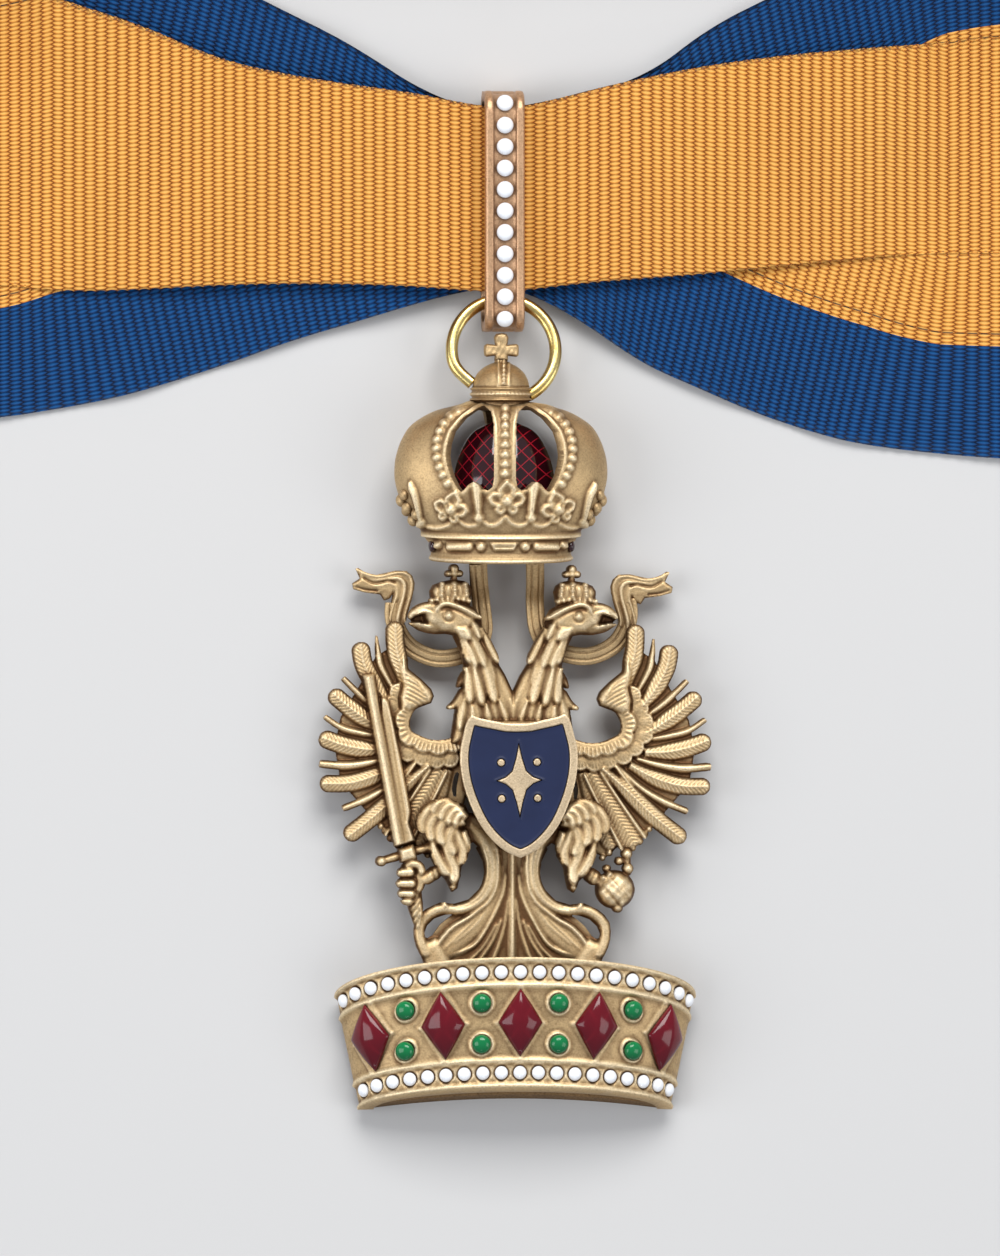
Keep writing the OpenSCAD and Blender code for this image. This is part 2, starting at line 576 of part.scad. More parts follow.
module leg() {
    limb(from_pct(thigh), 8);
    limb(from_pct(shank), 8);
}

// Orb in the right claw
module orb() {
    at = from_pct([[25.4, -42.2, 5.6, 4.9]])[0];
    translate([at[0], at[1], at[2]]) {
        sphere(at[3], $fn = 12);
        for (a = [200, 250, 300]) rotate([0, 0, a]) translate([0.75 * at[3], 0, 0.7]) sphere(0.55, $fn = 6);
    }
    limb(from_pct([[26.4, -39.5, 5.6, 1.6], [27.2, -37.5, 5.6, 1.2], [28.2, -34.6, 5.4, 0.9]]), 6);
    limb(from_pct([[26.0, -35.6, 5.4, 0.9], [30.0, -36.4, 5.4, 0.9]]), 5);
}

// Sword in the left claw: blade, guard, fist and grip
module sword() {
    top = [-37.2, 12.6] * pct;
    foot = [-28.9, -32.5] * pct;
    turn = atan2(foot[1] - top[1], foot[0] - top[0]);
    l = norm(foot - top);
    z = eagle_z + 1.2;
    translate([top[0], top[1], z]) rotate([0, 0, turn]) skin([for (s = [[0, 0.55], [0.02, 0.6], [1, 0.85]])
        [[s[0] * l, -s[1], 0], [s[0] * l, s[1], 0], [s[0] * l, s[1], 1.0], [s[0] * l, 0.1, 1.8],
        [s[0] * l, -s[1], 1.5]]]);
    limb(from_pct([[-34.8, -34.8, 6.5, 1.3], [-28.8, -33.6, 7.0, 1.5], [-22.8, -31.6, 6.5, 1.3]]), 6);
    for (i = [0:3]) rod(from_pct([[-30.6 + 0.5 * i, -37.2 - 2.2 * i, 6.2, 1.35],
        [-25.6 + 0.5 * i, -36.8 - 2.2 * i, 6.6, 1.35]]));
    limb(from_pct([[-28.5, -34, 4.6, 1.8], [-27.6, -40, 4.8, 2.6], [-26.8, -45, 4.8, 1.7], [-25.6, -49, 5, 2.0],
        [-25.0, -51.4, 5, 0.8]]), 8);
}

// Body behind the shield, and the tail that spreads below it
tail_half = [[13.2, -19], [13.0, -27], [12.4, -30.5], [8.4, -34.5], [7.1, -38.5], [8.7, -42.5],
    [12.1, -45.1], [16.1, -46.2], [19.1, -45.6], [22.4, -47.5], [25.2, -51.2], [25.8, -54.5],
    [24.4, -57.9], [22.1, -61.2], [20, -66], [15, -73]];
tail_hole = [[15.1, -48.5], [19, -48.7], [21.3, -49.6], [22.6, -51.8], [22.2, -53.8], [20.6, -54.8],
    [19.3, -53.4], [18, -50.8]];
tail_ribs = [[3.2, 9], [5.2, 17], [6.0, 22]];

module tail() {
    outline = concat([for (p = tail_half) p], [for (i = [len(tail_half) - 1:-1:0])
        [-tail_half[i][0], tail_half[i][1]]]);
    difference() {
        translate([0, 0, eagle_z]) linear_extrude(1.3) polygon([for (p = outline) p * pct]);
        for (side = [-1, 1]) translate([0, 0, eagle_z - 1]) linear_extrude(4)
            polygon([for (p = tail_hole) [side * p[0], p[1]] * pct]);
    }
    limb(from_pct([[0, -30, 4.0, 1.5], [0, -67, 3.0, 1.0]]), 6);
    for (side = [-1, 1], r = tail_ribs) limb(from_pct([[side * r[0] * 0.5, -32, 3.2, 1.2],
        [side * r[0], -44, 3.0, 1.1], [side * r[1] * 0.78, -56, 3.0, 1.1],
        [side * r[1] * 0.8, -67, 2.8, 0.9]]), 5);
    for (side = [-1, 1]) limb(from_pct([[side * 5.5, -34, 3.2, 1.4], [side * 5.9, -39, 3.2, 1.3],
        [side * 8.6, -44, 3.2, 1.3], [side * 14, -47.0, 3.2, 1.2], [side * 20, -47.9, 3.2, 1.2],
        [side * 23.8, -51.0, 3.2, 1.3], [side * 24.0, -55, 3.2, 1.3], [side * 20.5, -60, 3.0, 1.2]]), 6);
}

module eagle_body() {
    top = shield_z - seat - eagle_z;
    translate([0, 0, eagle_z]) hull() {
        translate([0, -6 * pct, 0]) cylinder(r = 12.5 * pct, h = top, $fn = 24);
        translate([0, -24 * pct, 0]) cylinder(r = 7 * pct, h = top, $fn = 24);
        translate([0, -33 * pct, 0]) cylinder(r = 3.4 * pct, h = 2.2, $fn = 16);
        translate([0, -8 * pct, 0]) cylinder(r = 14.6 * pct, h = 2.2, $fn = 24);
    }
}

module eagle() {
    color(bronze) eagle_place() intersection() {
        union() {
            eagle_body();
            tail();
            sword();
            orb();
            for (flip = [0, 1]) mirror([flip, 0, 0]) {
                wing();
                head();
                leg();
            }
        }
        translate([-eagle_w, -eagle_w, eagle_z]) cube([2 * eagle_w, 2 * eagle_w, eagle_w]);
    }
}

// Shield: half of its outline, as shares of half of shield_w and of shield_h down from its corners
shield_side = [[0.40, 0.045], [0.66, 0.022], [0.80, 0.0], [0.88, 0.05], [0.94, 0.14], [0.985, 0.22], [1.0, 0.30],
    [0.985, 0.40], [0.93, 0.51], [0.83, 0.63], [0.68, 0.76], [0.48, 0.87], [0.24, 0.955], [0.07, 0.995]];
module shield_outline() {
    right = [for (p = shield_side) [p[0] * shield_w / 2, -p[1] * shield_h]];
    left = [for (i = [len(right) - 1:-1:0]) [-right[i][0], right[i][1]]];
    polygon(concat([[0, -0.065 * shield_h]], right, left));
}

// Ornament on the shield: a slim four-pointed star between four small balls
module shield_ornament() {
    h = ornament_h / 2;
    w = 0.62 * h;
    waist = 0.2 * h;
    translate([0, -0.46 * shield_h]) {
        polygon([[0, h], [waist, waist], [w, 0], [waist, -waist], [0, -h], [-waist, -waist], [-w, 0],
            [-waist, waist]]);
        for (x = [-1, 1], y = [-1, 1]) translate([x * 0.46 * h, y * 0.46 * h]) circle(0.115 * h);
    }
}

module shield_place() {
    eagle_place() translate([0, shield_top - eagle_y, shield_z]) children();
}

shield_floor = 0.5;
module shield() {
    color(bronze) shield_place() {
        difference() {
            linear_extrude(shield_t) shield_outline();
            translate([0, 0, shield_floor]) linear_extrude(shield_t)
                offset(delta = -shield_rim) shield_outline();
        }
        linear_extrude(shield_t) shield_ornament();
    }
}

module shield_enamel() {
    gap = 0.07;
    color("#26345a") shield_place() translate([0, 0, shield_floor + seat])
        linear_extrude(shield_t - shield_floor - seat) difference() {
            offset(delta = -shield_rim - gap) shield_outline();
            offset(delta = gap) shield_ornament();
        }
}

// Base crown: a hollow band with a flat back and a round front, whose rims slope down to the back.
// Angle a runs round the front from 0 at the right end over 90 at the middle to 180 at the left end,
// and v runs from 0 at the upper rim to 1 at the lower rim.
base_foot_z = 1.5;
upper_slope = 0.47;
lower_slope = 0.27;
function base_point(a, v, out) = let (
    half = mix(base_w, base_low_w, v) / 2,
    deep = (base_d - base_foot_z) * mix(1, base_low_w / base_w, v),
    x = (half + out) * cos(a), z = base_foot_z + (deep + out) * sin(a),
    y = mix(base_top - upper_slope * (base_d - z), base_top - base_h - lower_slope * (base_d - z), v))
    [base_x + x, y, z];
function base_back(side, v, out) = let (
    half = mix(base_w, base_low_w, v) / 2 - 0.9 + out,
    y = mix(base_top - upper_slope * base_d, base_top - base_h - lower_slope * base_d, v))
    [base_x + side * half, y, 0];

// Profile down the band: v, then how far it stands out
bead_band = 2.8 / 12.3;
ridge = 0.035;
band_profile = [[0, 0.28], [ridge, 0.28], [ridge + 0.01, 0], [bead_band - ridge - 0.01, 0],
    [bead_band - ridge, 0.28], [bead_band, 0.28], [bead_band + 0.01, 0.06], [0.99 - bead_band, 0.06],
    [1 - bead_band, 0.28], [1 - bead_band + ridge, 0.28], [1 - bead_band + ridge + 0.01, 0],
    [1 - ridge - 0.01, 0], [1 - ridge, 0.28], [1, 0.28]];
base_steps = 36;
function base_ring(v, out) = concat([for (i = [0:base_steps]) base_point(180 * i / base_steps, v, out)],
    [base_back(-1, v, out), base_back(1, v, out)]);
function inner_ring(v) = let (y_of = base_point(0, v, 0)[1])
    concat([for (i = [0:base_steps]) let (a = 180 * i / base_steps, p = base_point(a, v, -base_wall))
        [p[0], p[1], max(p[2], base_wall)]]);

// Places on the band: distance along it from the middle, at a given v, turned into an angle
arc_step = 2;
function arc_table(v) = [for (a = 90, s = 0; a >= 0; s = s + norm(base_point(a - arc_step, v, 0) -
    base_point(a, v, 0)), a = a - arc_step) [s, a]];
function angle_at(s, v) = s < 0 ? 180 - lookup(-s, arc_table(v)) : lookup(s, arc_table(v));
function base_normal(a, v) = unit(cross(base_point(a, v + 0.01, 0) - base_point(a, v - 0.01, 0),
    base_point(a - 1, v, 0) - base_point(a + 1, v, 0)));

// Puts its children on the band, with +Z standing out of it and +Y up along it
module on_band(s, v, out) {
    a = angle_at(s, v);
    p = base_point(a, v, out);
    n = -base_normal(a, v);
    z = n[2] < 0 ? -n : n;
    up = unit(base_point(a, v - 0.01, 0) - base_point(a, v + 0.01, 0));
    x = unit(cross(up, z));
    y = cross(z, x);
    multmatrix([[x[0], y[0], z[0], p[0]], [x[1], y[1], z[1], p[1]], [x[2], y[2], z[2], p[2]], [0, 0, 0, 1]])
        children();
}

lozenges = 5;
lozenge_pitch = 7.45;
lozenge_frame = 0.3;
field_out = 0.06;
setting_h = 0.5;
green_rows = [0.345, 0.66];
green_rim = 0.23;
function lozenge_s(i) = (i - (lozenges + 1) / 2) * lozenge_pitch;
function green_s(k) = (k - 2.5) * lozenge_pitch;

module lozenge_outline(grow) {
    w = lozenge_w / 2 + 1.2 * grow;
    h = lozenge_h / 2 + 1.8 * grow;
    polygon([[w, 0], [0, h], [-w, 0], [0, -h]]);
}

// Plain rest inside the base crown that the end of the tail lies on
rest_w = 10;
rest_h = 3.2;
module base_crown() {
    color(bronze) {
        difference() {
            skin([for (r = band_profile) base_ring(r[0], r[1])]);
            skin([inner_ring(-0.03), inner_ring(1.03)]);
        }
        translate([base_x - rest_w / 2, base_top - upper_slope * (base_d - eagle_z) - rest_h, base_wall / 2])
            cube([rest_w, rest_h, eagle_z - clear - base_wall / 2]);
        for (i = [1:lozenges]) on_band(lozenge_s(i), 0.5, field_out) difference() {
            translate([0, 0, -0.9]) linear_extrude(0.9 + setting_h) lozenge_outline(lozenge_frame);
            translate([0, 0, setting_h - 0.3]) linear_extrude(1) lozenge_outline(0.07);
        }
        for (v = green_rows, k = [1:4]) on_band(green_s(k), v, field_out) difference() {
            translate([0, 0, -0.7]) cylinder(d = green_d + 2 * green_rim, h = 0.7 + setting_h);
            translate([0, 0, setting_h - 0.35]) cylinder(d = green_d + 0.12, h = 1);
        }
    }
}

// White beads in the two channels
upper_count = 21;
lower_count = 19;
module bead_row(count, pitch, v) {
    color(white) for (i = [0:count - 1]) on_band((i - (count - 1) / 2) * pitch, v, seat)
        bead(base_bead_d, 0.85);
}

module upper_beads() { bead_row(upper_count, 1.87, bead_band / 2); }
module lower_beads() { bead_row(lower_count, 1.8, 1 - bead_band / 2); }

// Red stone: four bevelled sides in two steps up to a small table
module red_lozenge(i) {
    steps = [[1, 0], [0.93, 0.35], [0.5, 0.95], [0.12, 1.2]];
    color(red) on_band(lozenge_s(i), 0.5, field_out) translate([0, 0, setting_h - 0.3 + seat])
        skin([for (s = steps) [[s[0] * lozenge_w / 2, 0, s[1]], [0, -s[0] * lozenge_h / 2, s[1]],
            [-s[0] * lozenge_w / 2, 0, s[1]], [0, s[0] * lozenge_h / 2, s[1]]]]);
}

module green_stone(k, v) {
    color(green) on_band(green_s(k), v, field_out) translate([0, 0, setting_h - 0.35 + seat])
        bead(green_d, 0.9);
}

module red_lozenge_1() { red_lozenge(1); }
module red_lozenge_2() { red_lozenge(2); }
module red_lozenge_3() { red_lozenge(3); }
module red_lozenge_4() { red_lozenge(4); }
module red_lozenge_5() { red_lozenge(5); }
module green_stone_1() { green_stone(1, green_rows[0]); }
module green_stone_2() { green_stone(2, green_rows[0]); }
module green_stone_3() { green_stone(3, green_rows[0]); }
module green_stone_4() { green_stone(4, green_rows[0]); }
module green_stone_5() { green_stone(1, green_rows[1]); }
module green_stone_6() { green_stone(2, green_rows[1]); }
module green_stone_7() { green_stone(3, green_rows[1]); }
module green_stone_8() { green_stone(4, green_rows[1]); }

// Moves the origin to the bottom centre of the whole piece
lowest_y = base_top - base_h - lower_slope * base_d;
highest_y = collar_back + ribbon_t / 2 + clear + clasp_wall;
module centred() { translate([0, -(lowest_y + highest_y) / 2, 0]) children(); }

centred() neck_ribbon();
centred() neck_clasp();
centred() ribbon_bail();
centred() bail_beads_white();
centred() jump_ring();
centred() imperial_crown();
centred() crown_cap();
centred() strap_left();
centred() strap_right();
centred() eagle();
centred() shield();
centred() shield_enamel();
centred() base_crown();
centred() upper_beads();
centred() lower_beads();
centred() red_lozenge_1();
centred() red_lozenge_2();
centred() red_lozenge_3();
centred() red_lozenge_4();
centred() red_lozenge_5();
centred() green_stone_1();
centred() green_stone_2();
centred() green_stone_3();
centred() green_stone_4();
centred() green_stone_5();
centred() green_stone_6();
centred() green_stone_7();
centred() green_stone_8();
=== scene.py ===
import math

import bmesh
import bpy
import numpy as np
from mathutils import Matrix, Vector


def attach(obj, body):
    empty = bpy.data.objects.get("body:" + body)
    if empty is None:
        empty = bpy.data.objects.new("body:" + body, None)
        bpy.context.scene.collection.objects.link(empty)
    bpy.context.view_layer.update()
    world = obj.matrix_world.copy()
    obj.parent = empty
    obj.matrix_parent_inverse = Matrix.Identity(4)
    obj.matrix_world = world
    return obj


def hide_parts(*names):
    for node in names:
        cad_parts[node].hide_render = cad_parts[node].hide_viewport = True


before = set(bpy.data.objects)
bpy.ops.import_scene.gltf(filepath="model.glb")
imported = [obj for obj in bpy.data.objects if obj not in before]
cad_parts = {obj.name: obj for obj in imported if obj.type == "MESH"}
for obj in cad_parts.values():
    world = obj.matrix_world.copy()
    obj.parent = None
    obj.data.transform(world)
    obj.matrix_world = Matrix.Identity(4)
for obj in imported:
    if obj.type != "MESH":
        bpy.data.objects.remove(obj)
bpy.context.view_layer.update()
MM = 0.001

# Places
# The part's own lengths in millimetres, as part.scad works them out. Local y = 0 is the ribbon's
# centre line in the bail; CENTRE_Y moves it to the scene's frame.
CENTRE_Y = 1.2725
RIBBON_W = 51.5
FAN_LEN = 49.0
RIBBON_LIFT = 1.3
COLLAR_HALF_W = 92.0
COLLAR_BACK = 84.0
COLLAR_TURN = 0.55 * COLLAR_BACK
BACK_STRAIGHT = 7.0
BAIL_TOP, BAIL_L, BAIL_W, BAIL_D = 10.3, 23.4, 3.85, 6.0
RING_D, RING_WIRE = 11.3, 1.2
RING_R = (RING_D - RING_WIRE) / 2
RING_Y = BAIL_TOP - BAIL_L + 1 + 2.25 - RING_R
CROWN_W, CROWN_D, CROWN_H = 20.7, 10.0, 15.3
CROWN_TOP = RING_Y - RING_R
CROWN_FOOT = CROWN_TOP - CROWN_H
CROWN_X, CROWN_Z = -0.35, 5.0
EAGLE_W = 38.0
PCT = EAGLE_W / 100
EAGLE_X, EAGLE_Y, EAGLE_Z, EAGLE_LEAN = 1.2, CROWN_FOOT - 15.92, 2.6, 0.9
SHIELD_TOP, SHIELD_Z = EAGLE_Y + 0.95, 6.3
SHIELD_W, SHIELD_H = 11.4, 13.9
BASE_X, BASE_TOP = 1.3, CROWN_FOOT - 38.45
BASE_W, BASE_LOW_W, BASE_D, BASE_H = 34.8, 30.2, 8.5, 12.3
# The photograph: its size and scale, and the column and row of the ribbon's middle
PHOTO_W, PHOTO_H = 1000, 1256
PX_PER_MM = 10.3
ZERO_COL, ZERO_ROW = 500.5, 197


def srgb(r, g, b):
    """sRGB 0-255 to a linear colour."""
    out = []
    for c in (r, g, b):
        c = c / 255
        out.append(c / 12.92 if c <= 0.04045 else ((c + 0.055) / 1.055) ** 2.4)
    return (*out, 1.0)


def smoothstep(a, b, x):
    t = np.clip((x - a) / (b - a), 0, 1)
    return t * t * (3 - 2 * t)


def make_mesh(name, verts_mm, faces, mat, smooth=True, uv=None, attrs=None):
    """Mesh from points in millimetres and faces of one size, or a list of faces."""
    v = np.array(verts_mm, dtype=np.float64).reshape(-1, 3) + [0, CENTRE_Y, 0]
    me = bpy.data.meshes.new(name)
    if isinstance(faces, np.ndarray):
        n, k = faces.shape
        me.vertices.add(len(v))
        me.vertices.foreach_set("co", (v * MM).ravel())
        me.loops.add(n * k)
        me.loops.foreach_set("vertex_index", faces.ravel().astype(np.int32))
        me.polygons.add(n)
        me.polygons.foreach_set("loop_start", np.arange(0, n * k, k, dtype=np.int32))
        me.update(calc_edges=True)
        me.validate()
    else:
        me.from_pydata((v * MM).tolist(), [], [list(map(int, f)) for f in faces])
    if smooth:
        me.polygons.foreach_set("use_smooth", [True] * len(me.polygons))
    if uv is not None:
        layer = me.uv_layers.new(name="weave")
        idx = np.empty(len(me.loops), dtype=np.int32)
        me.loops.foreach_get("vertex_index", idx)
        layer.data.foreach_set("uv", np.asarray(uv)[idx].astype(np.float32).ravel())
    for key, values in (attrs or {}).items():
        a = me.attributes.new(key, "FLOAT", "POINT")
        a.data.foreach_set("value", np.asarray(values, dtype=np.float32))
    obj = bpy.data.objects.new(name, me)
    bpy.context.scene.collection.objects.link(obj)
    me.materials.append(mat)
    return obj


def grid_faces(n, m, wrap_m=False, wrap_n=False):
    """Quads of a grid with n rows of m points."""
    i = np.arange(n if wrap_n else n - 1)
    j = np.arange(m if wrap_m else m - 1)
    I, J = np.meshgrid(i, j, indexing="ij")
    a = I * m + J
    b = I * m + (J + 1) % m
    c = ((I + 1) % n) * m + (J + 1) % m
    d = ((I + 1) % n) * m + J
    return np.stack([a, b, c, d], axis=-1).reshape(-1, 4)


class Parts:
    """Collects shapes that end up in one mesh."""

    def __init__(self):
        self.v, self.f, self.n = [], [], 0

    def add(self, verts, faces):
        verts = np.asarray(verts, dtype=float).reshape(-1, 3)
        self.v.append(verts)
        for f in faces:
            self.f.append([int(k) + self.n for k in f])
        self.n += len(verts)

    def mesh(self, name, mat, smooth=True):
        return make_mesh(name, np.concatenate(self.v), self.f, mat, smooth)


def recalc(obj):
    """Turns all faces outwards."""
    bm = bmesh.new()
    bm.from_mesh(obj.data)
    bmesh.ops.recalc_face_normals(bm, faces=bm.faces)
    bm.to_mesh(obj.data)
    bm.free()
    return obj


def ride(obj, node):
    """Lets a piece move with the whole, in the place of a CAD node, which it hides."""
    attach(obj, "root")
    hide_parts(node)
    return obj


def tube_faces(n, m):
    """Faces of a closed tube: n rings of m points, with a cap at each end."""
    caps = [list(range(m))[::-1], [(n - 1) * m + k for k in range(m)]]
    return [list(f) for f in grid_faces(n, m, wrap_m=True)] + caps


def sweep(path, outline):
    """An outline of (side, up) swept along a path; returns points and faces."""
    t = np.gradient(path, axis=0)
    t /= np.linalg.norm(t, axis=1)[:, None]
    side = np.cross(t, [0.0, 0.0, 1.0])
    side /= np.linalg.norm(side, axis=1)[:, None]
    up = np.cross(side, t)
    o = np.asarray(outline, float)
    p = path[:, None, :] + side[:, None, :] * o[None, :, 0, None] + up[:, None, :] * o[None, :, 1, None]
    return p.reshape(-1, 3), tube_faces(len(path), len(outline))


def ball(centre, radii, axes=None, seg=14, rings=9):
    """Ellipsoid with its pole along its third axis; returns points and faces."""
    th = np.linspace(0, math.pi, rings + 1)[1:-1]
    ph = np.linspace(0, 2 * math.pi, seg, endpoint=False)
    pts = [[0, 0, 1]]
    for a in th:
        for b in ph:
            pts.append([math.sin(a) * math.cos(b), math.sin(a) * math.sin(b), math.cos(a)])
    pts.append([0, 0, -1])
    p = np.array(pts) * np.asarray(radii, float)
    if axes is not None:
        p = p @ np.asarray(axes, float)
    f = []
    for j in range(seg):
        f.append([0, 1 + j, 1 + (j + 1) % seg])
    for i in range(len(th) - 1):
        for j in range(seg):
            a = 1 + i * seg + j
            b = 1 + i * seg + (j + 1) % seg
            f.append([a, a + seg, b + seg, b])
    last = len(pts) - 1
    for j in range(seg):
        f.append([last, last - seg + (j + 1) % seg, last - seg + j])
    return p + np.asarray(centre, float), f


# Materials
def new_material(name):
    mat = bpy.data.materials.new(name)
    mat.use_nodes = True
    nt = mat.node_tree
    return mat, nt, nt.nodes["Principled BSDF"]


def math_node(nt, op, a, b=None, c=None, clamp=False):
    n = nt.nodes.new("ShaderNodeMath")
    n.operation = op
    n.use_clamp = clamp
    for k, v in enumerate((a, b, c)):
        if v is None:
            continue
        if isinstance(v, (int, float)):
            n.inputs[k].default_value = v
        else:
            nt.links.new(v, n.inputs[k])
    return n.outputs[0]


def mix_color(nt, fac, a, b, kind="MIX"):
    n = nt.nodes.new("ShaderNodeMix")
    n.data_type = "RGBA"
    n.blend_type = kind
    for sock, v in ((n.inputs[0], fac), (n.inputs[6], a), (n.inputs[7], b)):
        if isinstance(v, (int, float, tuple)):
            sock.default_value = v
        else:
            nt.links.new(v, sock)
    return n.outputs[2]


def noise(nt, scale, detail=2.0, rough=0.5):
    n = nt.nodes.new("ShaderNodeTexNoise")
    n.inputs["Scale"].default_value = scale
    n.inputs["Detail"].default_value = detail
    n.inputs["Roughness"].default_value = rough
    nt.links.new(nt.nodes.new("ShaderNodeTexCoord").outputs["Object"], n.inputs["Vector"])
    return n.outputs["Fac"]


def wear_and_shade_of(nt):
    """The mesh's own wear and painted light and shade: on metal 0 in hollows to 1 on raised edges, partly
    wear and partly painted shade and highlight; on stones lighter on the faces that turn up to the light.
    """
    at = nt.nodes.new("ShaderNodeAttribute")
    at.attribute_name = "wear_and_shade"
    return at.outputs["Fac"]


def weave_places(nt):
    """The two places that a mesh carries for its pattern."""
    uvn = nt.nodes.new("ShaderNodeUVMap")
    uvn.uv_map = "weave"
    sep = nt.nodes.new("ShaderNodeSeparateXYZ")
    nt.links.new(uvn.outputs[0], sep.inputs[0])
    return sep.outputs[0], sep.outputs[1]


def ramp(nt, fac, stops):
    n = nt.nodes.new("ShaderNodeValToRGB")
    cr = n.color_ramp
    cr.elements[0].position, cr.elements[0].color = stops[0]
    cr.elements[1].position, cr.elements[1].color = stops[-1]
    for pos, col in stops[1:-1]:
        e = cr.elements.new(pos)
        e.color = col
    nt.links.new(fac, n.inputs[0])
    return n.outputs[0]


def bump(nt, bsdf, height, distance, strength=1.0):
    b = nt.nodes.new("ShaderNodeBump")
    b.inputs["Strength"].default_value = strength
    b.inputs["Distance"].default_value = distance
    nt.links.new(height, b.inputs["Height"])
    nt.links.new(b.outputs[0], bsdf.inputs["Normal"])


def bronze_material(name, body, bright, dark, rough=0.5, use_wear_and_shade=True, ao=0.0009, grain=1.0):
    """Matte cast metal: darker in hollows, partly patina and partly painted shade; brighter on raised edges,
    partly wear and partly painted highlight; with a fine sandy skin.
    """
    mat, nt, bsdf = new_material(name)
    bsdf.inputs["Metallic"].default_value = 0.82
    cloud = noise(nt, 260, 3, 0.6)
    sand = noise(nt, 5200, 2, 0.7)
    tone = mix_color(nt, ramp(nt, cloud, [(0.35, (0, 0, 0, 1)), (0.7, (1, 1, 1, 1))]),
                     tuple(0.9 * c for c in body[:3]) + (1,),
                     tuple(min(1, 1.08 * c) for c in body[:3]) + (1,))
    if use_wear_and_shade:
        # painted shade in hollows and painted highlight on raised edges, mixed with real patina and wear
        wear_and_shade = wear_and_shade_of(nt)
        low = math_node(nt, "MULTIPLY", math_node(nt, "SUBTRACT", 0.5, wear_and_shade), 2.0, clamp=True)
        high = math_node(nt, "MULTIPLY", math_node(nt, "SUBTRACT", wear_and_shade, 0.5), 2.0, clamp=True)
        tone = mix_color(nt, low, tone, dark)
        tone = mix_color(nt, high, tone, bright)
    # painted shade: ambient occlusion darkens crevices toward the dark colour
    a = nt.nodes.new("ShaderNodeAmbientOcclusion")
    a.samples = 6
    a.inputs["Distance"].default_value = ao
    shade = ramp(nt, a.outputs["AO"], [(0.3, (1, 1, 1, 1)), (0.9, (0, 0, 0, 1))])
    tone = mix_color(nt, math_node(nt, "MULTIPLY", shade, 0.95), tone, dark)
    speck = ramp(nt, sand, [(0.32, (0.6, 0.57, 0.52, 1)), (0.6, (1, 1, 1, 1))])
    tone = mix_color(nt, min(1.0, 0.6 * grain), tone, speck, "MULTIPLY")
    pits = ramp(nt, noise(nt, 3600, 2, 0.5), [(0.32, (0.5, 0.42, 0.34, 1)), (0.42, (1, 1, 1, 1))])
    tone = mix_color(nt, min(1.0, 0.35 * grain), tone, pits, "MULTIPLY")
    nt.links.new(tone, bsdf.inputs["Base Color"])
    r = math_node(nt, "MULTIPLY_ADD", cloud, 0.16, rough - 0.08)
    nt.links.new(r, bsdf.inputs["Roughness"])
    bump(nt, bsdf, sand, 0.00004 * grain, 0.6)
    return mat


GILT = bronze_material("gilt_bronze", srgb(202, 174, 130), srgb(244, 224, 186), srgb(104, 74, 46))
SMOOTH_GILT = bronze_material("gilt_smooth", srgb(222, 200, 166), srgb(243, 226, 194), srgb(126, 98, 70),
                              rough=0.46, use_wear_and_shade=False)
CAST_GILT = bronze_material("gilt_cast", srgb(204, 176, 132), srgb(240, 219, 182), srgb(104, 76, 48),
                            use_wear_and_shade=False, ao=0.0014)
# painted shade: a darker copy of the gilt bronze for the inside of the base crown, with a coarser grain
SHADED_INNER_BRONZE = bronze_material("shaded_inner_bronze", srgb(150, 120, 84), srgb(196, 166, 122), srgb(70, 48, 30),
                               rough=0.6, use_wear_and_shade=False, ao=0.003, grain=1.6)
BAIL_BRONZE = bronze_material("bail_bronze", srgb(206, 166, 130), srgb(240, 202, 164), srgb(104, 72, 50),
                              rough=0.44, use_wear_and_shade=False)


def brass_material():
    mat, nt, bsdf = new_material("ring_brass")
    bsdf.inputs["Metallic"].default_value = 1.0
    cloud = noise(nt, 420, 3, 0.6)
    tone = mix_color(nt, ramp(nt, cloud, [(0.4, (0, 0, 0, 1)), (0.68, (1, 1, 1, 1))]),
                     srgb(228, 208, 140), srgb(182, 152, 88))
    nt.links.new(tone, bsdf.inputs["Base Color"])
    nt.links.new(math_node(nt, "MULTIPLY_ADD", cloud, 0.25, 0.12), bsdf.inputs["Roughness"])
    bump(nt, bsdf, noise(nt, 2600, 2), 0.00002, 0.4)
    return mat


BRASS = brass_material()


def enamel_material(name, deep, glow, rough, coat, vary=0.5):
    mat, nt, bsdf = new_material(name)
    cloud = noise(nt, 420, 2, 0.5)
    tone = mix_color(nt, math_node(nt, "MULTIPLY", cloud, vary), deep, glow)
    nt.links.new(tone, bsdf.inputs["Base Color"])
    bsdf.inputs["Roughness"].default_value = rough
    bsdf.inputs["Coat Weight"].default_value = coat
    bsdf.inputs["Coat Roughness"].default_value = 0.04
    bump(nt, bsdf, noise(nt, 900, 1), 0.00003, 0.12)
    return mat


WHITE = enamel_material("white_enamel", srgb(228, 232, 238), srgb(250, 251, 253), rough=0.22, coat=0.35)
BLUE = enamel_material("shield_navy", srgb(16, 26, 58), srgb(28, 40, 76), rough=0.3, coat=0.08, vary=0.8)


def stone_material(name, body, edge, deep):
    """Translucent-looking glass stone: lighter where its faces turn up to the light."""
    mat, nt, bsdf = new_material(name)
    cloud = noise(nt, 300, 2, 0.5)
    tone = mix_color(nt, wear_and_shade_of(nt), deep, body)
    tone = mix_color(nt, math_node(nt, "MULTIPLY", cloud, 0.4), tone, edge)
    nt.links.new(tone, bsdf.inputs["Base Color"])
    bsdf.inputs["Roughness"].default_value = 0.12
    bsdf.inputs["Coat Weight"].default_value = 0.12
    bsdf.inputs["Coat Roughness"].default_value = 0.03
    bsdf.inputs["IOR"].default_value = 1.45
    bsdf.inputs["Specular IOR Level"].default_value = 0.4
    return mat


